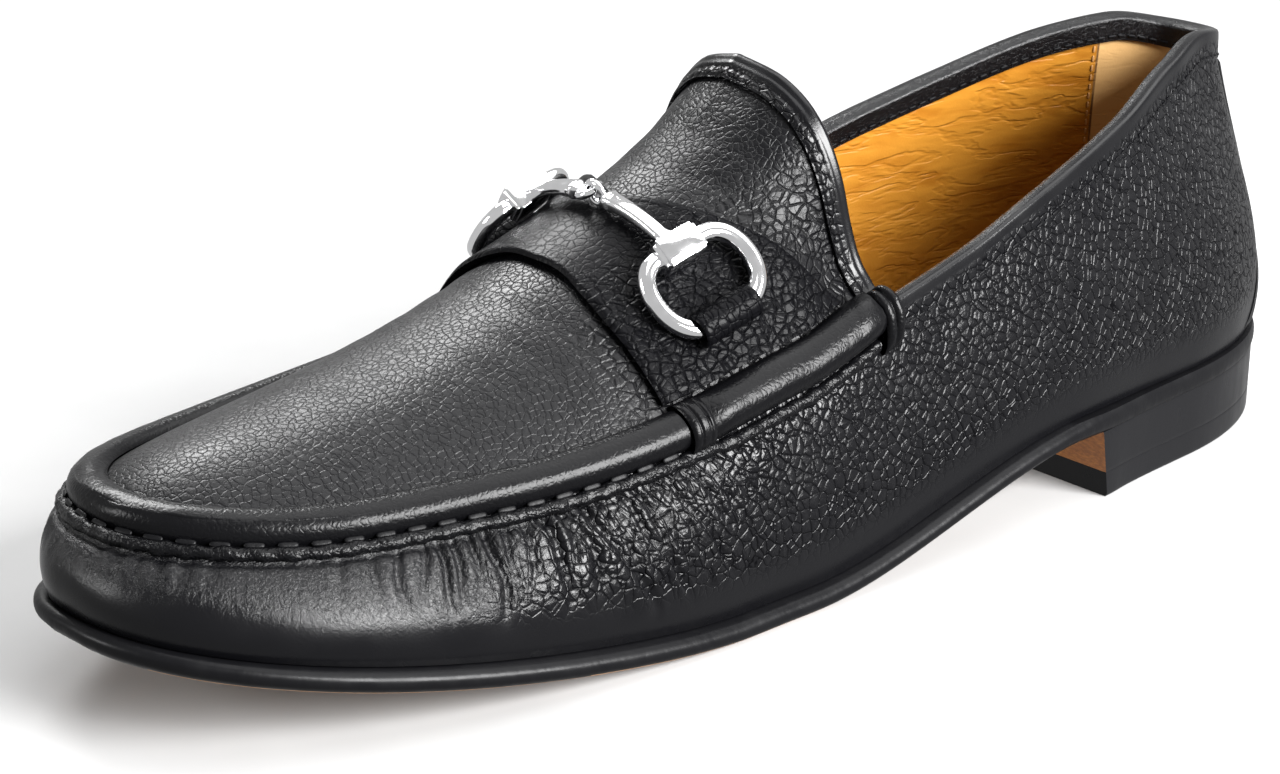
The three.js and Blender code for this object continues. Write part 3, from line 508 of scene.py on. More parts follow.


# Pebbled leather: domed cells where "pebble" says, their gaps painted darker as shade, stretched
# cracks where "crack" says, their lines also painted darker as shade, and a fibrous grain where "toe" says
def pebbledLeather(name, look):
    material, tree, shader = startMaterial(name)
    flat = millimetres(tree)
    place = warped(tree, flat, 2.4, 0.9)
    pebble, crack, toe = mask(tree, "pebble"), mask(tree, "crack"), mask(tree, "toe")
    domes, gaps = cellShapes(tree, place, look["cell"], look["dome"], look["gapWidth"])
    tops = cellShapes(tree, place, look["cell"], look["plateau"], look["gapWidth"])[0]
    small = cellShapes(tree, place, look["cell"] * 0.4, 0.4, 0.08)[0]
    flow = warped(tree, flowMap(tree, (1 / look["crackAcross"], 1 / look["crackAlong"], 1.0)), 1.6, 0.6)
    lines, lineGaps = cellShapes(tree, flow, 1.0, 0.16, 0.05)
    fine = noiseOf(tree, flat, look["fine"], 4.0).outputs["Fac"]
    fibre = noiseOf(tree, warped(tree, flat, 1.2, 1.8), 0.75, 4.0, 0.65).outputs["Fac"]
    cells = maths(tree, "ADD", maths(tree, "MULTIPLY", domes, 0.4 - look["small"] / 2),
                  maths(tree, "MULTIPLY", tops, 0.6 - look["small"] / 2))
    cells = maths(tree, "ADD", cells, maths(tree, "MULTIPLY", small, look["small"]))
    normal = bump(tree, maths(tree, "MULTIPLY", cells, pebble), look["cellDepth"])
    normal = bump(tree, maths(tree, "MULTIPLY", lines, crack), look["crackDepth"], normal)
    normal = bump(tree, maths(tree, "MULTIPLY", fibre, toe), look["toeDepth"], normal)
    normal = bump(tree, fine, look["fineDepth"], normal)
    # Painted shade: the base colour darkens in the gaps between cells and in the crack lines
    gapShade = maths(tree, "ADD", maths(tree, "MULTIPLY", gaps, maths(tree, "MULTIPLY", pebble, 0.8)),
                maths(tree, "MULTIPLY", lineGaps, maths(tree, "MULTIPLY", crack, 0.7)))
    gapShade = maths(tree, "MINIMUM", gapShade, 1.0)
    tree.links.new(blendColour(tree, gapShade, look["colour"], look["gapShade"]), shader.inputs["Base Color"])
    wearAndFoldShade = noiseOf(tree, flat, 14.0, 3.0).outputs["Fac"]
    wearAndFoldShade = spread(tree, wearAndFoldShade, 0.3, 0.7, look["roughness"] - 0.03, look["roughness"] + 0.06)
    dull = maths(tree, "ADD", wearAndFoldShade, maths(tree, "MULTIPLY", gapShade, 0.35))
    tree.links.new(dull, shader.inputs["Roughness"])
    # Less light reaches the gaps and the feet of the cells
    shaded = maths(tree, "MULTIPLY", pebble, look["cavity"])
    feet = maths(tree, "MULTIPLY", maths(tree, "SUBTRACT", 1.0, domes), shaded)
    hidden = maths(tree, "MINIMUM", maths(tree, "ADD", feet, gapShade), 0.92)
    shine = maths(tree, "MULTIPLY", maths(tree, "SUBTRACT", 1.0, hidden), look["specular"])
    tree.links.new(shine, shader.inputs["Specular IOR Level"])
    tree.links.new(normal, shader.inputs["Normal"])
    return material


smoothBlack = {
    "colour": (0.0014, 0.0014, 0.0017), "specular": 0.115, "roughness": 0.28, "grain": 0.4,
    "grainDepth": 0.026, "crumple": 3.5, "crumpleDepth": 0.06,
}


# Smooth calf: faint fine grain and soft crumples
def smoothLeather(name, look):
    material, tree, shader = startMaterial(name)
    shader.inputs["Base Color"].default_value = (*look["colour"], 1.0)
    shader.inputs["Specular IOR Level"].default_value = look["specular"]
    place = millimetres(tree)
    crumple = noiseOf(tree, warped(tree, place, 4.0, 1.5), look["crumple"], 2.0).outputs["Fac"]
    creasing = cellShapes(tree, warped(tree, place, 2.0, 1.0), 1.1, 0.3, 0.1)[0]
    grain = noiseOf(tree, place, look["grain"], 4.0).outputs["Fac"]
    normal = bump(tree, crumple, look["crumpleDepth"])
    normal = bump(tree, creasing, look["grainDepth"], normal)
    normal = bump(tree, grain, look["grainDepth"], normal)
    tree.links.new(spread(tree, crumple, 0.3, 0.7, look["roughness"] - 0.02, look["roughness"] + 0.03),
                   shader.inputs["Roughness"])
    tree.links.new(normal, shader.inputs["Normal"])
    return material


# The shade colour is painted shade, laid in the wrinkle hollows and along the fold lines
tanLining = {
    "colour": (0.25, 0.105, 0.01), "shade": (0.19, 0.068, 0.004), "heel": (0.33, 0.2, 0.08),
    "seam": (0.12, 0.06, 0.02), "patchEnd": 16.4, "seamHalf": 0.35, "roughness": 0.48,
    "wrinkle": 5.0, "wrinkleDepth": 0.42, "fold": 6.0, "foldDepth": 0.15,
}


# Tan lining with long soft wrinkles, painted shade in their hollows and folds, and a paler heel patch up to
# its seam, by "back" in millimetres
def liningLeather(name, look):
    material, tree, shader = startMaterial(name)
    place = millimetres(tree)
    long = warped(tree, millimetres(tree, (0.3, 0.6, 1.1)), 8.0, 4.0)
    wrinkle = noiseOf(tree, long, look["wrinkle"], 2.5).outputs["Fac"]
    bends = maths(tree, "SUBTRACT", noiseOf(tree, long, look["fold"], 3.0).outputs["Fac"], 0.5)
    folds = spread(tree, maths(tree, "ABSOLUTE", bends), 0.0, 0.06)
    grain = noiseOf(tree, place, 0.5, 3.0).outputs["Fac"]
    back = mask(tree, "back")
    heel = spread(tree, back, look["patchEnd"] - 0.1, look["patchEnd"] + 0.1, 1.0, 0.0)
    beside = maths(tree, "ABSOLUTE", maths(tree, "SUBTRACT", back, look["patchEnd"]))
    seam = spread(tree, beside, look["seamHalf"] * 0.4, look["seamHalf"], 1.0, 0.0)
    # Painted shade: the shade colour fills the wrinkle hollows, and pulls the body a fifth of the way towards
    # it along the fold lines
    body = blendColour(tree, spread(tree, wrinkle, 0.3, 0.6), look["shade"], look["colour"])
    wearAndFoldShade = maths(tree, "ADD", maths(tree, "MULTIPLY", folds, 0.2), 0.8)
    body = blendColour(tree, wearAndFoldShade, look["shade"], body)
    body = blendColour(tree, heel, body, look["heel"])
    tree.links.new(blendColour(tree, seam, body, look["seam"]), shader.inputs["Base Color"])
    calm = maths(tree, "SUBTRACT", 1.0, maths(tree, "MULTIPLY", heel, 0.8))
    normal = bump(tree, maths(tree, "MULTIPLY", wrinkle, calm), look["wrinkleDepth"])
    normal = bump(tree, maths(tree, "MULTIPLY", folds, calm), look["foldDepth"], normal)
    tree.links.new(bump(tree, grain, 0.03, normal), shader.inputs["Normal"])
    shader.inputs["Roughness"].default_value = look["roughness"]
    shader.inputs["Specular IOR Level"].default_value = 0.2
    return material


# Hard finished edge: sole edge and heel sides
def waxedEdge(name, colour, roughness, coat, ripple):
    material, tree, shader = startMaterial(name)
    shader.inputs["Base Color"].default_value = (*colour, 1.0)
    shader.inputs["Coat Weight"].default_value = coat
    shader.inputs["Coat Roughness"].default_value = 0.16
    shader.inputs["Specular IOR Level"].default_value = 0.1
    place = millimetres(tree)
    uneven = noiseOf(tree, millimetres(tree, (1.0, 1.0, 0.5)), 5.0, 3.0).outputs["Fac"]
    grain = noiseOf(tree, place, 0.4, 3.0).outputs["Fac"]
    normal = bump(tree, uneven, ripple)
    tree.links.new(bump(tree, grain, 0.012, normal), shader.inputs["Normal"])
    tree.links.new(bump(tree, uneven, ripple * 0.6), shader.inputs["Coat Normal"])
    dull = spread(tree, uneven, 0.3, 0.7, roughness - 0.05, roughness + 0.07)
    tree.links.new(dull, shader.inputs["Roughness"])
    return material


# Rough brown leather: heel breast and the sole's underside
def rawLeather(name, light, dark, lift):
    material, tree, shader = startMaterial(name)
    place = millimetres(tree, (1.0, 1.0, lift))
    fibre = noiseOf(tree, place, 1.2, 5.0).outputs["Fac"]
    patch = noiseOf(tree, place, 16.0, 3.0).outputs["Fac"]
    mixed = maths(tree, "ADD", maths(tree, "MULTIPLY", fibre, 0.5), maths(tree, "MULTIPLY", patch, 0.5))
    colour = blendColour(tree, spread(tree, mixed, 0.35, 0.65), dark, light)
    tree.links.new(colour, shader.inputs["Base Color"])
    tree.links.new(bump(tree, fibre, 0.06), shader.inputs["Normal"])
    tree.links.new(spread(tree, patch, 0.3, 0.7, 0.48, 0.62), shader.inputs["Roughness"])
    return material


def polishedMetal(name):
    material, tree, shader = startMaterial(name)
    shader.inputs["Metallic"].default_value = 1.0
    place = millimetres(tree)
    haze = noiseOf(tree, place, 2.5, 3.0).outputs["Fac"]
    colour = blendColour(tree, haze, (0.86, 0.86, 0.87), (0.93, 0.93, 0.94))
    tree.links.new(colour, shader.inputs["Base Color"])
    tree.links.new(spread(tree, haze, 0.3, 0.7, 0.05, 0.1), shader.inputs["Roughness"])
    tree.links.new(bump(tree, haze, 0.02), shader.inputs["Normal"])
    return material


def matt(name, colour, roughness, size, depth, specular=0.5):
    material, tree, shader = startMaterial(name)
    shader.inputs["Specular IOR Level"].default_value = specular
    place = millimetres(tree)
    grain = noiseOf(tree, place, size, 4.0).outputs["Fac"]
    mottled = blendColour(tree, grain, tuple(c * 0.75 for c in colour), colour)
    tree.links.new(mottled, shader.inputs["Base Color"])
    tree.links.new(bump(tree, grain, depth), shader.inputs["Normal"])
    dull = spread(tree, grain, 0.3, 0.7, roughness - 0.05, roughness + 0.05)
    tree.links.new(dull, shader.inputs["Roughness"])
    return material


# The same leathers with a finer cell on the apron, less gloss on the strap, more lumps on the welt
apronBlack = dict(blackLeather, cell=1.35, cellDepth=0.17, roughness=0.33, specular=0.17, cavity=0.25,
                  toeDepth=0.08, crackAlong=2.3, crackDepth=0.2)
strapBlack = dict(blackLeather, cell=1.7, cellDepth=0.14, roughness=0.32, specular=0.06,
                  crackAlong=2.3, crackDepth=0.18)
weltBlack = dict(smoothBlack, crumple=0.8, crumpleDepth=0.22, grainDepth=0.06, roughness=0.26)

grainLeather = pebbledLeather("pebbledBlackLeather", blackLeather)
apronLeather = pebbledLeather("apronLeather", apronBlack)
strapLeather = pebbledLeather("strapLeather", strapBlack)
calf = smoothLeather("smoothBlackLeather", smoothBlack)
weltLeather = smoothLeather("weltLeather", weltBlack)
lining = liningLeather("tanLining", tanLining)
edgeWax = waxedEdge("blackSoleEdge", (0.002, 0.002, 0.0024), 0.38, 0.03, 0.2)
heelWax = waxedEdge("blackHeelSide", (0.003, 0.003, 0.0035), 0.32, 0.15, 0.05)
breastLeather = rawLeather("brownHeelBreast", (0.36, 0.14, 0.03), (0.18, 0.062, 0.014), 3.0)
soleLeather = rawLeather("tanSoleLeather", (0.36, 0.19, 0.08), (0.26, 0.12, 0.045), 1.0)
rubber = matt("blackRubber", (0.012, 0.012, 0.013), 0.6, 0.8, 0.06)
silver = polishedMetal("polishedSilver")
thread = matt("blackWaxedThread", (0.0022, 0.0022, 0.0026), 0.42, 0.5, 0.05, 0.09)
tanThread = matt("tanThread", (0.3, 0.15, 0.05), 0.6, 0.4, 0.04, 0.3)
print("materials ready")


# Even stations along the run, closer where weight says so
def evenRun(count, start=0.0, stop=2.0, height=0.5, weight=None):
    fine = np.linspace(-1, 2, 9001)
    turns = np.floor(fine) + (1 - np.cos(np.pi * np.mod(fine, 1.0))) / 2
    turns = np.unique(np.concatenate([[start], turns[(turns > start) & (turns < stop)], [stop]]))
    points = wallPoint(turns, height)
    steps = np.linalg.norm(np.diff(points, axis=0), axis=1)
    if weight is not None:
        steps = steps * weight(sideAt((turns[1:] + turns[:-1]) / 2)[1])
    gone = np.concatenate([[0], np.cumsum(steps)])
    return np.interp(np.linspace(0, gone[-1], count), gone, turns)


# A grid whose corners are given row by row
def laySheet(name, points, masks=None):
    rows, columns = points.shape[:2]

    def corner(u, w):
        return np.rint(w * (rows - 1)).astype(int), np.rint(u * (columns - 1)).astype(int)

    return layGrid(name, columns - 1, rows - 1, lambda u, w: points[corner(u, w)],
                   lambda u, w: {mask: values[corner(u, w)] for mask, values in (masks or {}).items()})


# The flow map holds two masks as a map in millimetres, for patterns that follow the surface
def layFlow(piece, across, along):
    both = []
    for name in (across, along):
        values = np.empty(len(piece.data.vertices), np.float32)
        piece.data.attributes[name].data.foreach_get("value", values)
        both.append(values)
    corners = np.empty(len(piece.data.loops), np.int32)
    piece.data.loops.foreach_get("vertex_index", corners)
    flow = piece.data.uv_layers.new(name="flow")
    flow.data.foreach_set("uv", np.stack([both[0][corners], both[1][corners]], axis=1).ravel())


def millimetresAlong(points, axis):
    steps = np.linalg.norm(np.diff(points, axis=axis), axis=-1)
    first = np.zeros_like(np.take(steps, [0], axis=axis))
    return np.concatenate([first, np.cumsum(steps, axis=axis)], axis=axis)


wall = {
    "stations": 921, "rows": 42, "leather": 1.25, "liningGap": 0.1, "lining": 0.8,
    "liningStations": 420, "liningRows": 30, "creaseGain": 1.35, "deepest": 1.2,
    "ditch": 6.3, "ditchWidth": 0.7, "ditchDepth": 0.45, "puckerWidth": 0.9, "waveDepth": 0.16,
}
# Where each kind of grain comes in and goes out: start and length, along the shoe from the heel,
# up from the sole or down from the seam, in millimetres
zones = {
    "toeIn": (218, 26), "calmUp": (5, 7), "vampIn": (165, 12), "vampOut": (235, 18),
    "crackIn": (176, 16), "crackOut": (232, 16), "crackDown": (14, 12),
    "closeIn": (168, 8), "closeOut": (264, 10),
}

# Creases of the vamp, one by one: where each leaves the seam, from and to in millimetres down the
# wall, depth and half width
creases = [
    (181.2, 7, 14, 0.22, 0.5), (184.0, 7, 17, 0.26, 0.5), (187.4, 7, 16, 0.3, 0.5),
    (190.4, 6, 19, 0.36, 0.55), (193.5, 7, 20, 0.26, 0.5), (195.8, 6, 24, 0.34, 0.55),
    (198.8, 6, 22, 0.4, 0.6), (201.0, 7, 26, 0.28, 0.5), (203.2, 6, 31, 0.52, 0.65),
    (206.1, 7, 24, 0.3, 0.5), (207.9, 7, 21, 0.26, 0.5), (209.6, 6, 27, 0.36, 0.55),
    (211.5, 8, 25, 0.28, 0.5), (213.0, 6, 31, 0.48, 0.6), (216.3, 7, 20, 0.3, 0.5),
    (218.1, 6, 27, 0.5, 0.6), (219.9, 6, 31, 0.58, 0.7), (223.6, 6, 24, 0.5, 0.6),
    (225.0, 7, 20, 0.34, 0.5), (227.0, 6, 24, 0.62, 0.7), (231.1, 7, 19, 0.3, 0.55),
    (233.7, 7, 22, 0.34, 0.55), (236.2, 6, 23, 0.66, 0.7), (239.6, 7, 18, 0.3, 0.55),
    (241.9, 7, 20, 0.44, 0.6), (244.4, 7, 21, 0.5, 0.6), (247.6, 7, 18, 0.3, 0.6),
    (251.0, 7, 19, 0.34, 0.7), (255.3, 7, 16, 0.26, 0.7), (260.2, 7, 15, 0.22, 0.8),
]
innerCreases = [
    (184.5, 7, 16, 0.26, 0.55), (189.2, 6, 19, 0.34, 0.55), (193.0, 7, 21, 0.3, 0.5),
    (196.6, 6, 24, 0.42, 0.6), (200.1, 7, 22, 0.3, 0.55), (203.5, 6, 26, 0.46, 0.6),
    (206.0, 7, 21, 0.28, 0.5), (209.4, 6, 27, 0.5, 0.65), (213.2, 7, 22, 0.34, 0.55),
    (216.8, 6, 26, 0.52, 0.65), (220.3, 7, 20, 0.3, 0.55), (223.0, 6, 24, 0.46, 0.6),
    (227.5, 7, 19, 0.36, 0.6), (231.2, 6, 21, 0.5, 0.65), (236.0, 7, 18, 0.34, 0.6),
    (240.4, 7, 19, 0.42, 0.65), (246.1, 7, 16, 0.3, 0.7), (252.4, 7, 15, 0.26, 0.7),
]
# How far a crease runs back to the heel for each millimetre down, by where it starts
leanRows = {
    "at": (150.0, 178.0, 190.0, 203.0, 219.0, 227.0, 236.0, 250.0, 290.0),
    "lean": (0.8, 0.8, 0.75, 0.59, 0.59, 0.43, 0.2, 0.08, 0.0),
}
# Puckers at the toe: share of the run, reach down the wall, depth
puckers = [
    (0.962, 12, 0.3), (0.974, 14, 0.34), (0.983, 13, 0.4), (0.989, 14, 0.34), (0.9945, 12, 0.36),
    (0.9985, 13, 0.3), (1.0012, 13, 0.34), (1.0045, 12, 0.36), (1.009, 14, 0.36), (1.016, 13, 0.32),
    (1.026, 13, 0.3), (1.04, 12, 0.24),
]


def creaseStart(x, down):
    start = x + readRow(leanRows, "lean", x) * down
    return x + readRow(leanRows, "lean", start) * down


def hump(off, width):
    return np.exp(-(off / width) ** 2)


def wallRelief(run, x, down, up, start):
    side, at = sideAt(run)
    relief = np.zeros_like(x)
    for rows, here in ((creases, side > 0), (innerCreases, side < 0)):
        for k, (place, first, final, depth, width) in enumerate(rows):
            wander = 0.45 * np.sin(down / 4.1 + k * 2.3) + 0.3 * np.sin(down / 1.9 + k)
            off = (start - place - wander) / width
            fade = rising(down, first - 2.5, 3.0) * (1 - rising(down, final - 9, 10.0))
            lips = 0.4 * hump(off - 2.1, 1.1) + 0.3 * hump(off + 2.1, 1.1)
            relief -= np.where(here, wall["creaseGain"] * depth * fade * (hump(off, 1.0) - lips), 0)
    for k, (place, final, depth) in enumerate(puckers):
        off = (sideArc(run) - sideArc(np.array(place))) / wall["puckerWidth"]
        fade = rising(down, 4, 2.5) * (1 - rising(down, final - 6, 7.0))
        relief -= depth * fade * (hump(off, 1.0) - 0.4 * hump(np.abs(off) - 2.0, 1.0))
    # The ditch below the seam's welt, and the leather drawn in towards it
    seam = rising(at, last["throat"] + 0.03, 0.03)
    relief -= seam * wall["ditchDepth"] * hump(down - wall["ditch"], wall["ditchWidth"])
    # Soft waves along the quarter and the lasted edge
    waves = np.sin(x / 9.0 + down / 14.0) * np.sin(down / 17.0 + 1.0)
    calm = rising(up, 0, 8.0) * (1 - seam) * rising(down, 7, 8)
    return relief + wall["waveDepth"] * waves * calm


# Millimetres along the seam at each place of the run
def measureSeam():
    fine = np.linspace(0, 2, 6001)
    turns = np.floor(fine) + (1 - np.cos(np.pi * np.mod(fine, 1.0))) / 2
    turns[-1] = 2.0
    return turns, millimetresAlong(wallPoint(turns, 0.85), 0)


seamArc = measureSeam()


def sideArc(run):
    return np.interp(np.mod(run, 2.0), *seamArc)


# Stations lie closer where the creases are
def wallWeight(at):
    x = last["collarBack"] + topRun * at
    return 1 + 1.9 * rising(x, *zones["closeIn"]) * (1 - rising(x, *zones["closeOut"]))


def buildWall():
    runs = evenRun(wall["stations"], weight=wallWeight)
    runs[-1] = 2.0
    run, v = np.meshgrid(runs, np.linspace(0, 1, wall["rows"] + 1), indexing="ij")
    points = wallPoint(run, v)
    normals = wallNormal(run, v)
    normals[-1] = normals[0]
    up = millimetresAlong(points, 1)
    down = up[:, -1:] - up
    x = last["collarBack"] + topRun * sideAt(run)[1]
    start = creaseStart(x, down)
    relief = np.maximum(wallRelief(run, x, down, up, start), -wall["deepest"]) * rising(up, 0, 2.5)
    relief[-1] = relief[0]
    leather = points + normals * relief[..., None]
    # Coarse pebble on the quarter and the flank of the vamp, finer and softer at the toe
    toe = rising(x, *zones["toeIn"])
    calm = rising(up, *zones["calmUp"])
    vamp = rising(x, *zones["vampIn"]) * (1 - rising(x, *zones["vampOut"]))
    crack = 0.6 * calm * rising(x, *zones["crackIn"]) * (1 - rising(x, *zones["crackOut"]))
    crack = crack * (1 - rising(down, *zones["crackDown"]))
    pebble = calm * (1 - 0.9 * toe) * (0.85 + 0.15 * vamp) * (1 - 0.6 * crack)
    masks = {"pebble": pebble, "crack": crack, "across": start, "along": down,
             "toe": calm * (toe + 0.4 * crack)}
    piece = laySheet("quarters_and_vamp", leather, masks)
    layFlow(piece, "across", "along")
    mergeDoubles(piece)
    applyModifier(piece, "SOLIDIFY", thickness=wall["leather"] / 1000, offset=-1.0, use_rim=True)
    smooth(piece, 60)
    finishPiece(piece, grainLeather, "grained_leather", "upper")
    # Lining of the same wall, a little shorter and plain
    run, v = np.meshgrid(evenRun(wall["liningStations"]), np.linspace(0.02, 0.985, wall["liningRows"] + 1),
                         indexing="ij")
    inset = wall["leather"] + wall["liningGap"]
    inner = wallPoint(run, v) - wallNormal(run, v) * inset
    inner[-1] = inner[0]
    liner = laySheet("quarter_lining", inner, {"back": sideAt(run)[1] * topRun})
    mergeDoubles(liner)
    applyModifier(liner, "SOLIDIFY", thickness=wall["lining"] / 1000, offset=-1.0, use_rim=True)
    smooth(liner, 60)
    finishPiece(liner, lining, "lining_leather")


liningStitch = {"pitch": 2.3, "length": 1.5, "wide": 0.55, "high": 0.3}


# Stitches down each front edge of the lining's heel patch
def buildLiningSeams():
    v = np.linspace(0.3, 0.92, 120)
    stand = wall["leather"] + wall["liningGap"] + wall["lining"]
    patch = (tanLining["patchEnd"] + 0.9) / topRun
    for label, run in (("lateral", patch), ("medial", 2 - patch)):
        runs = np.full(len(v), run)
        n = wallNormal(runs, v)
        sewRow(f"lining_stitches_{label}", wallPoint(runs, v) - n * stand, -n, liningStitch, tanThread,
               "lining_leather")


apron = {"stations": 200, "columns": 156, "leather": 1.25, "liningGap": 0.1, "lining": 0.8,
         "liningColumns": 70, "tongueEnd": 0.66, "coarseFrom": 0.3, "seamBand": 0.16}

# Soft folds across the instep and apron, one by one: place along the run, how far from the spine
# they reach as a share, depth and half width in millimetres
apronFolds = [
    (0.683, 0.9, 0.22, 2.2), (0.716, 0.8, 0.14, 1.8), (0.75, 0.7, 0.16, 2.4), (0.79, 0.6, 0.1, 2.0),
    (0.5, 0.9, 0.14, 2.6), (0.532, 0.8, 0.12, 2.0),
]


def buildApron():
    ends = 1 - (1 - np.linspace(0, 1, apron["stations"])) ** 1.25
    ats = last["throat"] + (1 - last["throat"]) * ends
    at, across = np.meshgrid(ats, np.linspace(0, 2, apron["columns"] + 1), indexing="ij")
    points = apronPoint(at, across)
    normals = apronNormal(at, across)
    fromSpine = np.abs(across - 1)
    coarse = rising(fromSpine, apron["coarseFrom"], 0.3)
    relief = np.zeros_like(at)
    for place, reach, depth, width in apronFolds:
        off = (at - place + 0.012 * np.cos(across * 3.0)) * topRun / width
        relief -= depth * hump(off, 1.0) * (1 - rising(fromSpine, reach - 0.3, 0.3))
    leather = points + normals * relief[..., None]
    edge = 1 - rising(np.minimum(across, 2 - across), 0, apron["seamBand"])
    front = rising(at, apron["tongueEnd"], 0.05)
    pebble = (1 - front) * (0.55 - 0.35 * coarse) + front * (0.45 + 0.35 * edge)
    masks = {"pebble": pebble, "crack": (1 - front) * coarse, "across": millimetresAlong(points, 1),
             "along": at * topRun, "toe": 0.5 * front}
    piece = laySheet("apron_and_tongue", leather, masks)
    layFlow(piece, "across", "along")
    mergeDoubles(piece)
    applyModifier(piece, "SOLIDIFY", thickness=apron["leather"] / 1000, offset=-1.0, use_rim=True)
    smooth(piece, 60)
    finishPiece(piece, apronLeather, "grained_leather", "upper")
    line = np.linspace(0.02, 1.98, apron["liningColumns"] + 1)
    at, across = np.meshgrid(ats[::2][1:], line, indexing="ij")
    inset = apron["leather"] + apron["liningGap"]
    liner = laySheet("tongue_lining", apronPoint(at, across) - apronNormal(at, across) * inset,
                     {"back": at * topRun})
    mergeDoubles(liner)
    applyModifier(liner, "SOLIDIFY", thickness=apron["lining"] / 1000, offset=-1.0, use_rim=True)
    smooth(liner, 60)
    finishPiece(liner, lining, "lining_leather")


buildWall()
buildApron()
print("upper ready")

sole = {"stations": 150, "edgeSteps": 16, "flatSteps": 8, "roundIn": 1.5, "heelPad": 96.0,
        "heelEnd": 82.0, "heelSoft": 0.3, "heelStations": 90, "topPiece": 5.5, "heelGap": 0.03,
        "lean": 2.5, "leanHeight": 15.0, "sockStations": 130, "sockColumns": 40, "sock": 3.0}
# Sides of the heel's lifts and of its top piece: inset in millimetres, share of the height
liftSide = [(0.46, 0.0), (0.4, 0.02), (0.38, 0.1), (0.38, 0.5), (0.38, 0.9), (0.4, 0.98), (0.46, 1.0)]
topPieceSide = [(0.9, 0.0), (0.6, 0.04), (0.44, 0.1), (0.38, 0.2), (0.38, 0.9), (0.4, 0.98), (0.46, 1.0)]


def soleStations(count, first, final):
    even = np.linspace(0, 1, count)
    ends = (1 - np.cos(np.pi * even)) / 2
    return first + (final - first) * (0.35 * even + 0.65 * ends)


# A slab that follows the sole's outline: section goes up the outer edge, over the top to the
# inner edge, down it and back under
def slab(name, ats, profile, bottomAt, topAt, flatSteps, softAt=lambda x: 1.0):
    depths, rises = (np.array([row[k] for row in profile]) for k in (0, 1))
    rows = []
    for at in ats:
        insets = depths * softAt(at * last["length"])
        outerRun, innerRun = np.full(len(insets), at), np.full(len(insets), 2 - at)
        outer = solePoint(outerRun) - outward(outerRun) * insets[:, None]
        inner = solePoint(innerRun) - outward(innerRun) * insets[:, None]
        for edge in (outer, inner):
            low = bottomAt(edge[:, 0])
            edge[:, 2] = low + (topAt(edge[:, 0]) - low) * rises
        over = np.linspace(0, 1, flatSteps + 1)[1:-1, None]
        top = outer[-1] + (inner[-1] - outer[-1]) * over
        top[:, 2] = topAt(top[:, 0])
        under = inner[0] + (outer[0] - inner[0]) * over
        under[:, 2] = bottomAt(under[:, 0])
        rows.append(np.concatenate([outer, top, inner[::-1], under, outer[:1]]))
    points = np.array(rows)
    piece = laySheet(name, points)
    mergeDoubles(piece, 2e-5)
    closeAndTurnOut(piece)
    smooth(piece, 35)
    return piece


def roundedEdge(steps, roundIn):
    return [(roundIn * abs(2 * s - 1) ** 2.6, s) for s in np.linspace(0, 1, steps)]


def paintFaces(piece, index, choose):
    for face in piece.data.polygons:
        if choose(face):
            face.material_index = index


def tread(x):
    return treadHeight(x / last["length"])


def liftTop(x):
    return tread(x) - sole["heelGap"]


def level(height):
    return lambda x: 0 * x + height


# The sole's edge is rounder before the heel than over it
def edgeSoftness(x):
    return sole["heelSoft"] + (1 - sole["heelSoft"]) * rising(x, sole["heelEnd"] - 6, 22)


def buildSole():
    outsole = slab("outsole_leather", soleStations(sole["stations"], 0.0, 1.0),
                   roundedEdge(sole["edgeSteps"], sole["roundIn"]), tread, soleTop, sole["flatSteps"],
                   edgeSoftness)
    finishPiece(outsole, [edgeWax, soleLeather], "sole_edge", "outsole")
    paintFaces(outsole, 1, lambda face: face.normal.z < -0.8)


def buildHeel():
    heelEnd = sole["heelEnd"] / last["length"]
    stations = heelEnd * (1 - np.cos(np.pi * np.linspace(0, 1, sole["heelStations"]) * 0.5))
    lifts = slab("heel_lifts", stations, liftSide, level(sole["topPiece"] + sole["heelGap"]), liftTop,
                 sole["flatSteps"])
    leanBreast(lifts)
    finishPiece(lifts, [heelWax, breastLeather], "heel_leather", "heel_stack")
    paintFaces(lifts, 1, lambda face: face.normal.x > 0.6 and face.center.x * 1000 - moveBy[0] > 70)
    top = slab("heel_top_rubber", stations, topPieceSide, level(0.0), level(sole["topPiece"]),
               sole["flatSteps"])
    leanBreast(top)
    finishPiece(top, [heelWax, rubber], "top_piece_rubber", "heel_top_piece")
    paintFaces(top, 1, lambda face: face.normal.z < -0.6)


# The breast leans forward as it rises
def leanBreast(piece):
    points = takeCorners(piece) * 1000 - moveBy
    share = rising(points[:, 0], sole["heelEnd"] - 12, 12)
    points[:, 0] -= share * sole["lean"] * (1 - clamp(points[:, 2] / sole["leanHeight"]))
    setCorners(piece, inFrame(points))


def buildSock():
    inset = last["wall"] + 2 * last["fit"]
    rows = []
    for at in soleStations(sole["sockStations"], 0.0, 1.0):
        outer = footPoint(np.array([at]), inset)[0]
        inner = footPoint(np.array([2 - at]), inset)[0]
        over = np.linspace(0, 1, sole["sockColumns"] + 1)[:, None]
        line = outer + (inner - outer) * over
        line[:, 2] = soleTop(line[:, 0]) + last["fit"] + sole["sock"]
        rows.append(line)
    points = np.array(rows)
    beforePad = points[..., 0] - sole["heelPad"] + tanLining["patchEnd"]
    piece = laySheet("sock_lining", points[:, ::-1], {"back": beforePad})
    mergeDoubles(piece, 2e-5)
    applyModifier(piece, "SOLIDIFY", thickness=sole["sock"] / 1000, offset=-1.0, use_rim=True)
    smooth(piece, 50)
    finishPiece(piece, lining, "lining_leather", "insole")


buildSole()
buildHeel()
buildSock()
print("sole ready")

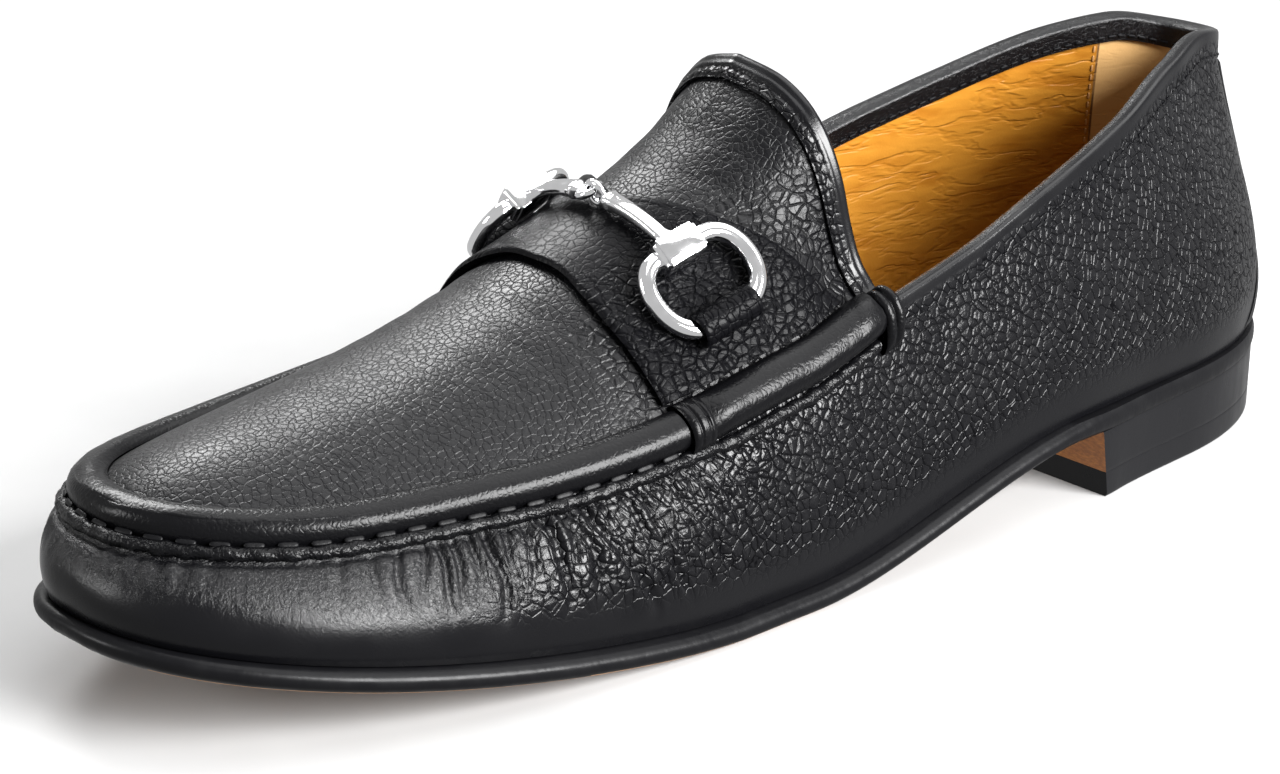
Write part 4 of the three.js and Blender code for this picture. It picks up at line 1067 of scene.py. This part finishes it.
# Pieces that lie over the seam: reach down the wall, reach over the apron, height
roll = {"foot": 3.0, "lap": 4.6, "height": 3.6, "stations": 520}
wrap = {"foot": 3.6, "lap": 5.2, "height": 4.6, "front": 189.0}
frontBand = {"foot": 4.4, "lap": 5.4, "height": 5.0, "width": 5.0}
rearBand = {"foot": 7.5, "lap": 4.2, "height": 4.2, "width": 4.5}
seamGap = last["fit"] / topRun
wrapEnd = (wrap["front"] - last["collarBack"]) / topRun
frontBandEnd = wrapEnd + seamGap + frontBand["width"] / topRun
rearBandEnd = last["throat"] + seamGap + rearBand["width"] / topRun


# A roll over the seam: u goes over its back from the wall to the apron and returns underneath
def seamTube(name, runs, size, shape, around=26, under=8):
    angle = np.concatenate([np.linspace(0, np.pi, around + 1), np.linspace(np.pi, 2 * np.pi, under + 1)[1:]])
    over = angle <= np.pi
    f = -np.cos(angle)
    run, f = np.meshgrid(runs, f, indexing="ij")
    over = np.broadcast_to(over, run.shape)
    lengthwise = np.broadcast_to(np.linspace(0, 1, len(runs))[:, None], run.shape)
    place = np.where(f < 0, f * size["foot"], f * size["lap"])
    dome = np.clip(1 - f ** 2, 0, 1) ** 0.5
    height = size["height"] * dome * shape(run, f, lengthwise)
    height = np.where(over, last["fit"] + height, last["fit"] * 0.5)
    piece = laySheet(name, nearSeam(run, place, height))
    mergeDoubles(piece, 4e-6)
    closeAndTurnOut(piece)
    smooth(piece, 60)
    return piece


def rollShape(run, f, lengthwise):
    arc = sideArc(run)
    toe = np.exp(-((sideAt(run)[1] - 1) / 0.11) ** 2)
    ripple = 0.02 * np.sin(arc / 1.7 + 2.5 * f) * np.sin(arc / 5.3) + 0.015 * np.sin(arc / 3.1 + 4 * f)
    slow = 0.02 * np.sin(arc / 11.0) + 0.015 * np.sin(arc / 6.1 + 1.0)
    return 1 + slow + toe * ripple


def wrapShape(run, f, lengthwise):
    ends = np.sqrt(ease(lengthwise / 0.09)) * np.sqrt(ease((1 - lengthwise) / 0.09))
    rear = ease((0.35 - lengthwise) / 0.35)
    folds = 0.014 * np.sin(lengthwise * 70 + 3 * f) * rear + 0.008 * np.sin(lengthwise * 23 + 2 * f)
    return (0.8 + 0.2 * ends) * (1 + folds)


def frontBandShape(run, f, lengthwise):
    ends = np.clip(np.sin(np.pi * np.clip(lengthwise, 0.001, 0.999)), 0, 1) ** 0.22
    lines = sum(hump(lengthwise - c, 0.045) for c in (0.3, 0.7))
    return (0.72 + 0.28 * ends) * (1 - 0.1 * lines)


def rearBandShape(run, f, lengthwise):
    cords = np.abs(np.sin(2 * np.pi * lengthwise)) ** 0.5
    return 0.66 + 0.3 * cords


def buildSeam():
    half = evenRun(roll["stations"] // 2, frontBandEnd + seamGap, 1.0, 0.9)
    runs = np.concatenate([half, (2 - half)[::-1][1:]])
    piece = seamTube("seam_roll_leather", runs, roll, rollShape)
    finishPiece(piece, calf, "smooth_leather", "seam_roll")
    for side in ("lateral", "medial"):
        mirrored = (lambda r: r) if side == "lateral" else (lambda r: 2 - r)
        for name, first, final, size, shape, count in (
                ("side_wrap", rearBandEnd + seamGap, wrapEnd, wrap, wrapShape, 90),
                ("front_band", wrapEnd + seamGap, frontBandEnd, frontBand, frontBandShape, 26),
                ("rear_band", last["throat"] + seamGap, rearBandEnd, rearBand, rearBandShape, 30)):
            runs = mirrored(np.linspace(first, final, count))
            piece = seamTube(f"{name}_leather_{side}", runs, size, shape)
            finishPiece(piece, calf, "smooth_leather", f"{name}_{side}")


# The welt under the roll, a raised strip with its stitches along its upper edge
welt = {"place": 4.5, "half": 1.3, "height": 1.35, "behind": 0.9, "stitchPlace": 3.2}
weltStitch = {"pitch": 5.5, "length": 3.5, "wide": 1.0, "high": 0.62}


def buildWelt():
    half = evenRun(360, last["throat"] + 0.02, 1.0, 0.85)
    runs = np.concatenate([half, (2 - half)[::-1][1:]])
    angle = np.linspace(0, 2 * np.pi, 15)
    run, turn = np.meshgrid(runs, angle, indexing="ij")
    at = sideAt(run)[1]
    arc = sideArc(run)
    swell = 1 + 0.12 * np.sin(arc / 1.1) * np.sin(arc / 3.7) + 0.08 * np.sin(arc / 0.7 + 2 * turn)
    behind = welt["behind"] * (1 - rising(at, wrapEnd - 0.02, 0.03))
    place = -(welt["place"] + behind) + welt["half"] * np.cos(turn) * swell
    lift = 0.1 + np.maximum(0, np.sin(turn)) ** 0.8 * welt["height"] * swell
    lift += 0.25 * np.minimum(0, np.sin(turn))
    piece = laySheet("seam_welt", nearSeam(run, place, lift))
    mergeDoubles(piece, 4e-6)
    closeAndTurnOut(piece)
    smooth(piece, 60)
    finishPiece(piece, weltLeather, "grained_leather")


# One stitch: a block rounded by its modifiers, laid along x and lying on z 0
def modelStitch(name, size):
    deselect()
    bpy.ops.mesh.primitive_cube_add(size=1, location=(0, 0, size["high"] / 2000))
    stitch = bpy.context.object
    stitch.name = name
    stitch.scale = (size["length"] / 1000, size["wide"] / 1000, size["high"] / 1000)
    bpy.ops.object.transform_apply(location=True, rotation=False, scale=True)
    bpy.ops.object.mode_set(mode="EDIT")
    bpy.ops.mesh.select_all(action="SELECT")
    bpy.ops.mesh.subdivide(number_cuts=1)
    bpy.ops.object.mode_set(mode="OBJECT")
    applyModifier(stitch, "SUBSURF", levels=1, render_levels=1)
    return stitch


# The stitch is copied in a row, then each copy goes to its place on the path
def sewAlong(name, stitch, places, tangents, normals):
    count, spacing = len(places), 0.01
    base = takeCorners(stitch)
    applyModifier(stitch, "ARRAY", count=count, use_relative_offset=False, use_constant_offset=True,
                  constant_offset_displace=(spacing, 0, 0))
    run = unit(tangents)
    across = unit(np.cross(unit(normals), run))
    turns = np.stack([run, across, unit(np.cross(run, across))], axis=1)
    corners = np.einsum("ck,nkj->ncj", base, turns) + inFrame(places)[:, None, :]
    setCorners(stitch, corners.reshape(-1, 3))
    stitch.name = name
    stitch.data.name = name
    smooth(stitch, 60)
    return stitch


def stepsAlong(points, pitch):
    gone = millimetresAlong(points, 0)
    count = int(gone[-1] / pitch)
    return (np.arange(count) + 0.5) * gone[-1] / count, gone


def atSteps(values, gone, steps):
    return np.stack([np.interp(steps, gone, values[:, k]) for k in range(values.shape[1])], axis=1)


def sewRow(name, points, normals, size, material, slot):
    steps, gone = stepsAlong(points, size["pitch"])
    ahead = atSteps(points, gone, steps + 0.3)
    behind = atSteps(points, gone, steps - 0.3)
    piece = sewAlong(name, modelStitch(name + "_one", size), atSteps(points, gone, steps),
                     ahead - behind, atSteps(normals, gone, steps))
    return finishPiece(piece, material, slot)


def buildSeamStitches():
    half = evenRun(260, frontBandEnd + 0.006, 1.0, 0.85)
    runs = np.concatenate([half, (2 - half)[::-1][1:]])
    points = nearSeam(runs, -welt["stitchPlace"], last["fit"] + 0.55)
    normals = nearSeam(runs, -welt["stitchPlace"], 3.0) - points + outward(runs) * 0.9
    sewRow("seam_stitches", points, normals, weltStitch, thread, "smooth_leather")


# Folded edges: reach down the outer face and the lining, height at the rim, at the lap's end and
# inside, and raised lines as place and height
binding = {"faceSteps": 26, "rimSteps": 14, "thickness": 0.5}
collarEdge = {"lap": 5.6, "inside": 4.6, "lift": 1.0, "flush": 0.25, "inner": 1.1, "ridges": ()}
tongueEdge = {"lap": 4.7, "inside": 4.2, "lift": 0.8, "flush": 0.3, "inner": 0.8, "start": 0.06,
              "ridges": ((1.7, 0.22), (3.5, 0.26))}
# Stitch rows: distance from the rim, and the stitch's sizes
collarStitches = {
    "outer": {"away": 4.9, "pitch": 2.6, "length": 1.8, "wide": 0.4, "high": 0.24},
    "inner": {"away": 3.5, "pitch": 2.6, "length": 1.8, "wide": 0.6, "high": 0.4},
}
tongueStitch = {"pitch": 2.4, "length": 1.8, "wide": 0.6, "high": 0.3}


def edgeLift(edge, away):
    share = away / edge["lap"]
    lift = edge["flush"] + (edge["lift"] - edge["flush"]) * (1 - ease(share * 0.9 + 0.05))
    return lift + sum(high * hump(away - place, 0.5) for place, high in edge["ridges"])


# Down the outer face, over the rim and down the lining
def foldedEdge(edge, surfaceAt, over, size):
    shares = np.linspace(1, 0, binding["faceSteps"])
    middle = -last["wall"] / 2
    size = size[:, None]
    rows = []
    for share in shares[:-1]:
        point, n = surfaceAt(share * edge["lap"])
        rows.append(point + n * edgeLift(edge, share * edge["lap"]) * size)
    rim, n = surfaceAt(0.0)
    for angle in np.linspace(0, np.pi, binding["rimSteps"] + 1):
        side = edgeLift(edge, 0.0) if angle < np.pi / 2 else edge["inner"]
        reach = side * size + last["wall"] / 2
        rise = edge["lift"] * size * max(0, math.sin(angle)) ** 0.8
        rows.append(rim + n * (middle + reach * math.cos(angle)) + over * rise)
    for share in shares[::-1][1:]:
        point, n = surfaceAt(share * edge["inside"])
        rows.append(point - n * (last["wall"] + edge["inner"] * size))
    return np.stack(rows, axis=1)


# The outer face is grained like the leather beside it, the rim smooth and the inside lumpy
def finishEdge(name, edge, points, *nodes):
    faceRows = binding["faceSteps"] - 1
    halfRim = binding["rimSteps"] // 2
    away = np.linspace(edge["lap"], 0, faceRows)
    outside = np.concatenate([rising(away, 1.2, 1.6), np.zeros(2 * halfRim + 1 + faceRows)])
    inside = np.concatenate([np.zeros(faceRows + halfRim), np.ones(faceRows + 1 + halfRim)])
    whole = np.zeros(points.shape[:2])
    masks = {"pebble": whole + 0.8 * outside, "crack": whole, "toe": whole + 0.8 * inside}
    piece = laySheet(name, points, masks)
    mergeDoubles(piece)
    applyModifier(piece, "SOLIDIFY", thickness=binding["thickness"] / 1000, offset=-1.0, use_rim=True)
    smooth(piece, 60)
    return finishPiece(piece, grainLeather, "smooth_leather", *nodes)


def buildCollar():
    end = last["throat"] - 2 * seamGap
    runs = evenRun(300, -end, end, 1.0)

    def surfaceAt(distance):
        v = wallShare(runs, np.full(len(runs), distance))
        return wallPoint(runs, v), wallNormal(runs, v)

    over = unit(topPoint(runs) - wallPoint(runs, 0.98))
    finishEdge("collar_edge", collarEdge, foldedEdge(collarEdge, surfaceAt, over, np.ones(len(runs))),
               "collar_binding")
    stands = {"outer": edgeLift(collarEdge, collarStitches["outer"]["away"]),
              "inner": 0.05 - last["wall"] - collarEdge["inner"]}
    for label, sign in (("outer", 1), ("inner", -1)):
        size = collarStitches[label]
        points, n = surfaceAt(size["away"])
        sewRow(f"collar_stitches_{label}", points + n * stands[label], n * sign, size, thread,
               "smooth_leather")


def buildTongueEdge():
    line = np.linspace(tongueEdge["start"], 2 - tongueEdge["start"], 700)
    gone = millimetresAlong(apronPoint(last["throat"], line), 0)
    across = np.interp(np.linspace(0, gone[-1], 260), gone, line)[::-1]
    rim = apronPoint(last["throat"], across)
    ahead = apronPoint(last["throat"] + nudge, across)
    stride = np.linalg.norm(ahead - rim, axis=1) / nudge

    def surfaceAt(distance):
        at = last["throat"] + distance / stride
        return apronPoint(at, across), apronNormal(at + nudge, across)

    size = 0.3 + 0.7 * rising(np.minimum(across, 2 - across), tongueEdge["start"], 0.07)
    finishEdge("tongue_edge", tongueEdge, foldedEdge(tongueEdge, surfaceAt, unit(rim - ahead), size),
               "tongue_binding")
    for label, (away, ridge) in zip(("front", "rear"), tongueEdge["ridges"]):
        points, n = surfaceAt(away)
        stand = edgeLift(tongueEdge, away) * size[:, None] - 0.06
        sewRow(f"tongue_stitches_{label}", points + n * stand, n, tongueStitch, thread, "smooth_leather")


# The strip over the back seam
backstay = {"thickness": 0.55, "under": 0.5, "leather": 0.8, "foot": 0.02, "columns": 32, "rows": 69}
backstayRows = {"at": (0.0, 0.12, 0.3, 0.6, 1.0), "reach": (0.075, 0.04, 0.016, 0.011, 0.012)}


def buildBackstay():
    high = float(wallShare(np.array([0.0]), np.array([collarEdge["lap"] + backstay["under"]]))[0])
    heights = np.linspace(backstay["foot"], high, backstay["rows"] + 1)
    v, share = np.meshgrid(heights, np.linspace(-1, 1, backstay["columns"] + 1), indexing="ij")
    run = np.sign(share) * readRow(backstayRows, "reach", v) * share ** 2
    edge = np.minimum(1 - np.abs(share), np.minimum(v - backstay["foot"], high - v) * 12)
    lift = last["fit"] * 0.6 + (backstay["thickness"] - 0.15) * np.sqrt(rising(edge, 0, 0.06))
    points = wallPoint(run, v) + wallNormal(run, v) * lift[..., None]
    piece = laySheet("backstay_leather", np.swapaxes(points, 0, 1))
    applyModifier(piece, "SOLIDIFY", thickness=backstay["leather"] / 1000, offset=-1.0, use_rim=True)
    smooth(piece, 60)
    finishPiece(piece, calf, "smooth_leather", "backstay")


strap = {"thickness": 1.8, "leather": 1.3, "columns": 120, "rows": 56, "width": 26.0,
         "grooveIn": 2.4, "grooveWidth": 0.35, "groove": 0.1}


def strapPoint(share, along, lift):
    side = np.where(share <= 1, 1.0, -1.0)
    near = np.where(share <= 1, share, 2 - share)
    rear = readRow(strapRows, "rear", near)
    front = readRow(strapRows, "front", near)
    at = rear + (front - rear) * along
    start = apronShare(np.where(side > 0, at, 2 - at), np.full(at.shape, wrap["lap"] + 2 * last["fit"]))
    start = np.where(side > 0, start, 2 - start)
    v = start + (1 - start) * near
    across = np.where(side > 0, v, 2 - v)
    return apronPoint(at, across) + apronNormal(at, across) * lift[..., None], at


def buildStrap():
    along, share = np.meshgrid(np.linspace(0, 1, strap["rows"] + 1),
                               np.linspace(0, 2, strap["columns"] + 1), indexing="ij")
    rim = np.minimum(along, 1 - along) * strap["width"]
    lift = last["fit"] + strap["thickness"] * (0.62 + 0.38 * np.sqrt(rising(rim, 0, 1.1)))
    lift -= strap["groove"] * hump(rim - strap["grooveIn"], strap["grooveWidth"])
    points, at = strapPoint(share, along, lift)
    near = 1 - rising(np.minimum(share, 2 - share), 0.4, 0.35)
    masks = {"pebble": 0.35 + 0.15 * near, "crack": near, "across": millimetresAlong(points, 1),
             "along": at * topRun}
    piece = laySheet("strap_leather", points, masks)
    layFlow(piece, "across", "along")
    mergeDoubles(piece)
    applyModifier(piece, "SOLIDIFY", thickness=strap["leather"] / 1000, offset=-1.0, use_rim=True)
    smooth(piece, 60)
    finishPiece(piece, strapLeather, "smooth_leather", "saddle_strap")


buildSeam()
buildWelt()
buildSeamStitches()
buildLiningSeams()
print("seam ready")
buildCollar()
buildTongueEdge()
buildBackstay()
buildStrap()
print("edges and strap ready")

bit = {"wire": 3.3, "length": 26.0, "corner": 5.4, "station": 0.597, "keeperFromSeam": 14.5,
       "barrelFromSeam": 28.0, "barrelLength": 9.6, "barrel": 6.6, "block": 5.7, "neck": 0.8,
       "neckStep": 0.55, "blockRound": 1.2, "bulge": 0.4, "link": 3.3, "eye": 2.15, "eyeWire": 1.5,
       "joint": 184.0, "arch": 1.2, "frontShare": 0.88}
keeper = {"width": 13.4, "leather": 1.3, "wire": 1.6, "wireGap": 0.3}
# Wrinkles across a keeper: place as a share of half its width, depth in millimetres
keeperWrinkles = [(-0.62, 0.14), (-0.2, 0.17), (0.12, 0.1), (0.5, 0.15), (0.78, 0.08)]


# Axes of a ring from its keeper bar and its barrel bar: back to the heel, out to the seam, up
def ringFrame(sign):
    run = np.array([bit["station"] if sign > 0 else 2 - bit["station"]])
    at = sideAt(run)[1]

    def over(distance, lift):
        across = apronShare(run, np.array([distance]))
        n = apronNormal(at, across)[0]
        return apronPoint(at, across)[0] + n * (2 * last["fit"] + strap["thickness"] + lift), n

    keeperBar, n = over(bit["keeperFromSeam"], keeper["wire"] + 1.5 * last["fit"])
    barrelBar, m = over(bit["barrelFromSeam"], bit["barrel"] / 2)
    out = keeperBar - barrelBar
    reach = np.linalg.norm(out) / 2
    out = unit(out)
    back = unit(np.cross(out, n + m))
    back = -back if back[0] > 0 else back
    above = unit(np.cross(back, out))
    above = -above if above[2] < 0 else above
    return {"centre": (keeperBar + barrelBar) / 2, "back": back, "out": out, "up": above, "reach": reach}


def inRing(ring, a, b, c):
    return (ring["centre"] + np.asarray(a)[..., None] * ring["back"] + np.asarray(b)[..., None] * ring["out"]
            + np.asarray(c)[..., None] * ring["up"])


def bezier(start, leave, arrive, end, count=26):
    t = np.linspace(0, 1, count + 1)[:-1, None]
    a, b, c, d = (np.array(corner, float) for corner in (start, leave, arrive, end))
    return a * (1 - t) ** 3 + b * 3 * (1 - t) ** 2 * t + c * 3 * (1 - t) * t ** 2 + d * t ** 3


# The ring's D: straight at the barrel, round at the keeper
def ringPath(reach):
    half = (bit["length"] - bit["wire"]) / 2
    foot = 0.4 * half
    low = (half, -0.05 * reach)
    right = np.concatenate([
        bezier((bit["corner"], -reach), (0.8 * half, -reach), (half, -0.6 * reach), low),
        bezier(low, (half, 0.6 * reach), (0.7 * half, reach), (foot, reach))])
    left = np.stack([-right[::-1, 0], right[::-1, 1]], axis=1)
    bar = np.stack([np.linspace(foot, -foot, 10)[1:-1], np.full(8, reach)], axis=1)
    barrel = np.stack([np.linspace(-bit["corner"], bit["corner"], 10)[1:-1], np.full(8, -reach)], axis=1)
    return np.concatenate([right, [(foot, reach)], bar, [(-foot, reach)], left, barrel])


# A tube with a squarish section along a path given in two axes and lifted on a third
def sweep(name, path, sideways, upwards, widths, heights, square, closed, around=20):
    angle = np.linspace(0, 2 * np.pi, around + 1)
    cosines = np.sign(np.cos(angle)) * np.abs(np.cos(angle)) ** square
    sines = np.sign(np.sin(angle)) * np.abs(np.sin(angle)) ** square
    points = (path[:, None, :] + sideways[:, None, :] * (widths[:, None] * cosines)[..., None]
              + upwards[:, None, :] * (heights[:, None] * sines)[..., None])
    if closed:
        points = np.concatenate([points, points[:1]])
    piece = laySheet(name, points)
    mergeDoubles(piece, 4e-6)
    closeAndTurnOut(piece)
    return piece


def buildRing(label, ring):
    flat = ringPath(ring["reach"])
    flat[:, 0] *= np.where(flat[:, 0] < 0, bit["frontShare"], 1.0)
    ahead = unit(np.roll(flat, -1, 0) - np.roll(flat, 1, 0))
    path = inRing(ring, flat[:, 0], flat[:, 1], np.zeros(len(flat)))
    sideways = ahead[:, 1:2] * ring["back"] - ahead[:, :1] * ring["out"]
    half = np.full(len(flat), bit["wire"] / 2)
    upwards = np.tile(ring["up"], (len(flat), 1))
    piece = sweep(f"bit_ring_{label}_silver", path, sideways, upwards, half * 1.04, half * 0.96, 0.86, True)
    smooth(piece, 60)
    finishPiece(piece, silver, "bit_metal", f"bit_ring_{label}")


# The barrel is a block with a step at each end and soft edges
def buildBarrel(ring):
    deselect()
    bpy.ops.mesh.primitive_cube_add(size=1)
    block = bpy.context.object
    block.scale = (bit["barrelLength"] - 2 * bit["neck"], bit["block"], bit["block"] * 0.96)
    bpy.ops.object.transform_apply(location=False, rotation=False, scale=True)
    for sign in (-1, 1):
        pick(block)
        bpy.ops.object.mode_set(mode="EDIT")
        bpy.ops.mesh.select_all(action="DESELECT")
        bpy.ops.object.mode_set(mode="OBJECT")
        for face in block.data.polygons:
            face.select = face.normal.x * sign > 0.9
        bpy.ops.object.mode_set(mode="EDIT")
        bpy.ops.mesh.select_mode(type="FACE")
        bpy.ops.mesh.inset(thickness=bit["neckStep"], depth=0)
        bpy.ops.mesh.extrude_region_move(TRANSFORM_OT_translate={"value": (bit["neck"] * sign, 0, 0)})
        bpy.ops.object.mode_set(mode="OBJECT")
    applyModifier(block, "BEVEL", width=bit["blockRound"], segments=4, limit_method="ANGLE")
    applyModifier(block, "SUBSURF", subdivision_type="SIMPLE", levels=2, render_levels=2)
    local = takeCorners(block)
    half = np.array((bit["barrelLength"], bit["block"], bit["block"])) / 2
    room = 1 - clamp(np.abs(local) / half) ** 2
    for axis, other in ((2, 1), (1, 2)):
        onFace = np.abs(local[:, axis]) > half[axis] * 0.7
        local[:, axis] += np.sign(local[:, axis]) * bit["bulge"] * room[:, 0] * room[:, other] * onFace
    place = inRing(ring, local[:, 0], local[:, 1] - ring["reach"], local[:, 2])
    setCorners(block, inFrame(place))
    return block


def buildEye(centre, along, axis):
    deselect()
    bpy.ops.mesh.primitive_torus_add(major_segments=36, minor_segments=14, major_radius=bit["eye"],
                                     minor_radius=bit["eyeWire"] / 2)
    eye = bpy.context.object
    local = takeCorners(eye)
    other = np.cross(axis, along)
    setCorners(eye, inFrame(centre + local[:, :1] * along + local[:, 1:2] * other + local[:, 2:] * axis))
    return eye


def buildBar(label, ring, sign):
    barrelAt = inRing(ring, 0.0, -ring["reach"], 0.0)
    lift = strap["thickness"] + 5 * last["fit"] + bit["eye"] + bit["eyeWire"] / 2
    joint = np.array((bit["joint"], 0.0, float(spineHeight(np.array(bit["joint"]))) + lift))
    along = unit(barrelAt - joint)
    eyeAt = joint + along * bit["eye"] / 2
    rise = unit(np.cross(along, ring["back"]))
    rise = -rise if rise[2] < 0 else rise
    stand = unit(np.cross(rise, along))
    eye = buildEye(eyeAt, along, stand if sign > 0 else rise)
    first = eyeAt + along * bit["eye"]
    final = barrelAt - along * bit["barrel"] * 0.4
    bow = (first + final) / 2 + rise * 2 * bit["arch"]
    t = np.linspace(0, 1, 41)[:, None]
    path = first * (1 - t) ** 2 + bow * 2 * t * (1 - t) + final * t ** 2
    ahead = unit(np.gradient(path, axis=0))
    sideways = unit(np.cross(ahead, rise))
    upwards = unit(np.cross(sideways, ahead))
    t = t[:, 0]
    # Narrow behind the eye, a collar, a slow taper and a flare into the barrel
    swell = 1 - 0.3 * hump(t, 0.05) + 0.16 * hump(t - 0.1, 0.05)
    widths = bit["link"] / 2 * (swell - 0.1 * rising(t, 0.15, 0.4) + 0.22 * rising(t, 0.86, 0.1))
    bar = sweep(f"{label}_bar", path, sideways, upwards, widths, widths * 0.82, 0.55, False)
    piece = join(f"bit_link_{label}_silver", [bar, eye, buildBarrel(ring)])
    smooth(piece, 42)
    finishPiece(piece, silver, "bit_metal", f"bit_link_{label}")


# A sheet whose faces point to the ring's bar is turned over
def turnOut(piece, ring):
    centre = Vector(inFrame(inRing(ring, 0.0, ring["reach"], 0.0)))
    outwards = sum((face.center - centre).dot(face.normal) for face in piece.data.polygons)
    if outwards < 0:
        pick(piece)
        bpy.ops.object.mode_set(mode="EDIT")
        bpy.ops.mesh.select_all(action="SELECT")
        bpy.ops.mesh.flip_normals()
        bpy.ops.object.mode_set(mode="OBJECT")


# A loop of leather about the ring's outer bar, both ends down through the strap
def buildKeeper(label, ring):
    angle, w = np.meshgrid(np.radians(np.linspace(232, -52, 61)), np.linspace(-1, 1, 61), indexing="xy")
    radius = keeper["wire"] + keeper["wireGap"] + keeper["leather"]
    radius = radius - 0.42 * (1 - np.sqrt(rising(1 - np.abs(w), 0, 0.09)))
    for place, depth in keeperWrinkles:
        radius = radius - depth * hump(w - place - 0.05 * np.cos(angle * 2 + place), 0.035)
    alongBar = w * keeper["width"] / 2 * (1 - 0.03 * np.sin(angle))
    points = inRing(ring, alongBar, ring["reach"] + radius * np.cos(angle), radius * np.sin(angle) * 0.97)
    masks = {"pebble": np.full(w.shape, 0.8), "crack": np.zeros(w.shape), "across": w * 6,
             "along": angle * 3}
    piece = laySheet(f"keeper_{label}_leather", points, masks)
    layFlow(piece, "across", "along")
    turnOut(piece, ring)
    applyModifier(piece, "SOLIDIFY", thickness=keeper["leather"] / 1000, offset=-1.0, use_rim=True)
    smooth(piece, 50)
    finishPiece(piece, strapLeather, "smooth_leather", f"keeper_{label}")


for label, sign in (("lateral", 1), ("medial", -1)):
    ring = ringFrame(sign)
    buildRing(label, ring)
    buildBar(label, ring, sign)
    buildKeeper(label, ring)
print("bit ready")

# Floor, world and softboxes
stage = {
    "floor": (0.29, 0.29, 0.29), "world": 0.55,
    "overhead": {"place": (-0.3, 0.05, 1.05), "size": (1.1, 1.1), "power": 15.0},
    "innerBack": {"place": (-0.15, -0.85, 0.85), "size": (0.5, 0.35), "power": 18.0},
    "outerSide": {"place": (-0.2, 0.95, 0.5), "size": (0.75, 0.6), "power": 80.0},
    "toeFront": {"place": (1.0, -0.45, 0.42), "size": (0.35, 0.35), "power": 7.0},
}
floorPaint = matt("paleFloor", stage["floor"], 0.9, 60.0, 0.0)


# The floor is lit and seen, but stays out of the leather's gloss
def buildFloor():
    deselect()
    bpy.ops.mesh.primitive_plane_add(size=12, location=(0, 0, 0))
    floor = bpy.context.object
    floor.name = "studio_floor"
    floor.data.materials.append(floorPaint)
    floor.visible_glossy = False


def addLight(name, settings):
    light = bpy.data.lights.new(name, "AREA")
    light.shape = "RECTANGLE"
    light.size, light.size_y = settings["size"]
    light.energy = settings["power"]
    lamp = bpy.data.objects.new(name, light)
    bpy.context.scene.collection.objects.link(lamp)
    lamp.location = settings["place"]
    aim = Vector((0.02, 0.0, 0.04)) - Vector(settings["place"])
    lamp.rotation_euler = aim.to_track_quat("-Z", "Y").to_euler()


def lightWorld():
    world = bpy.data.worlds.new("studio")
    world.use_nodes = True
    background = world.node_tree.nodes["Background"]
    background.inputs["Color"].default_value = (1.0, 1.0, 1.0, 1.0)
    background.inputs["Strength"].default_value = stage["world"]
    bpy.context.scene.world = world
    bpy.context.scene.view_settings.view_transform = "Standard"


buildFloor()
for name in ("overhead", "innerBack", "outerSide", "toeFront"):
    addLight(f"{name}_softbox", stage[name])
lightWorld()

# Camera at the photo's angle, rolled a little
view = {"target": (0.0197, -0.0024, 0.0312), "back": (0.618, 0.7139, 0.3294), "distance": 0.5743,
        "roll": 0.9, "lens": 84.2}


def addCamera():
    data = bpy.data.cameras.new("photo_camera")
    data.lens = view["lens"]
    data.sensor_width = 36.0
    data.clip_start = 0.01
    camera = bpy.data.objects.new("photo_camera", data)
    bpy.context.scene.collection.objects.link(camera)
    back = Vector(view["back"]).normalized()
    right = (-back).cross(Vector((0, 0, 1))).normalized()
    up = right.cross(-back)
    roll = math.radians(view["roll"])
    across = right * math.cos(roll) + up * math.sin(roll)
    above = -right * math.sin(roll) + up * math.cos(roll)
    place = Matrix.Translation(Vector(view["target"]) + back * view["distance"])
    camera.matrix_world = place @ Matrix((across, above, back)).transposed().to_4x4()
    bpy.context.scene.camera = camera


addCamera()
print("stage ready")
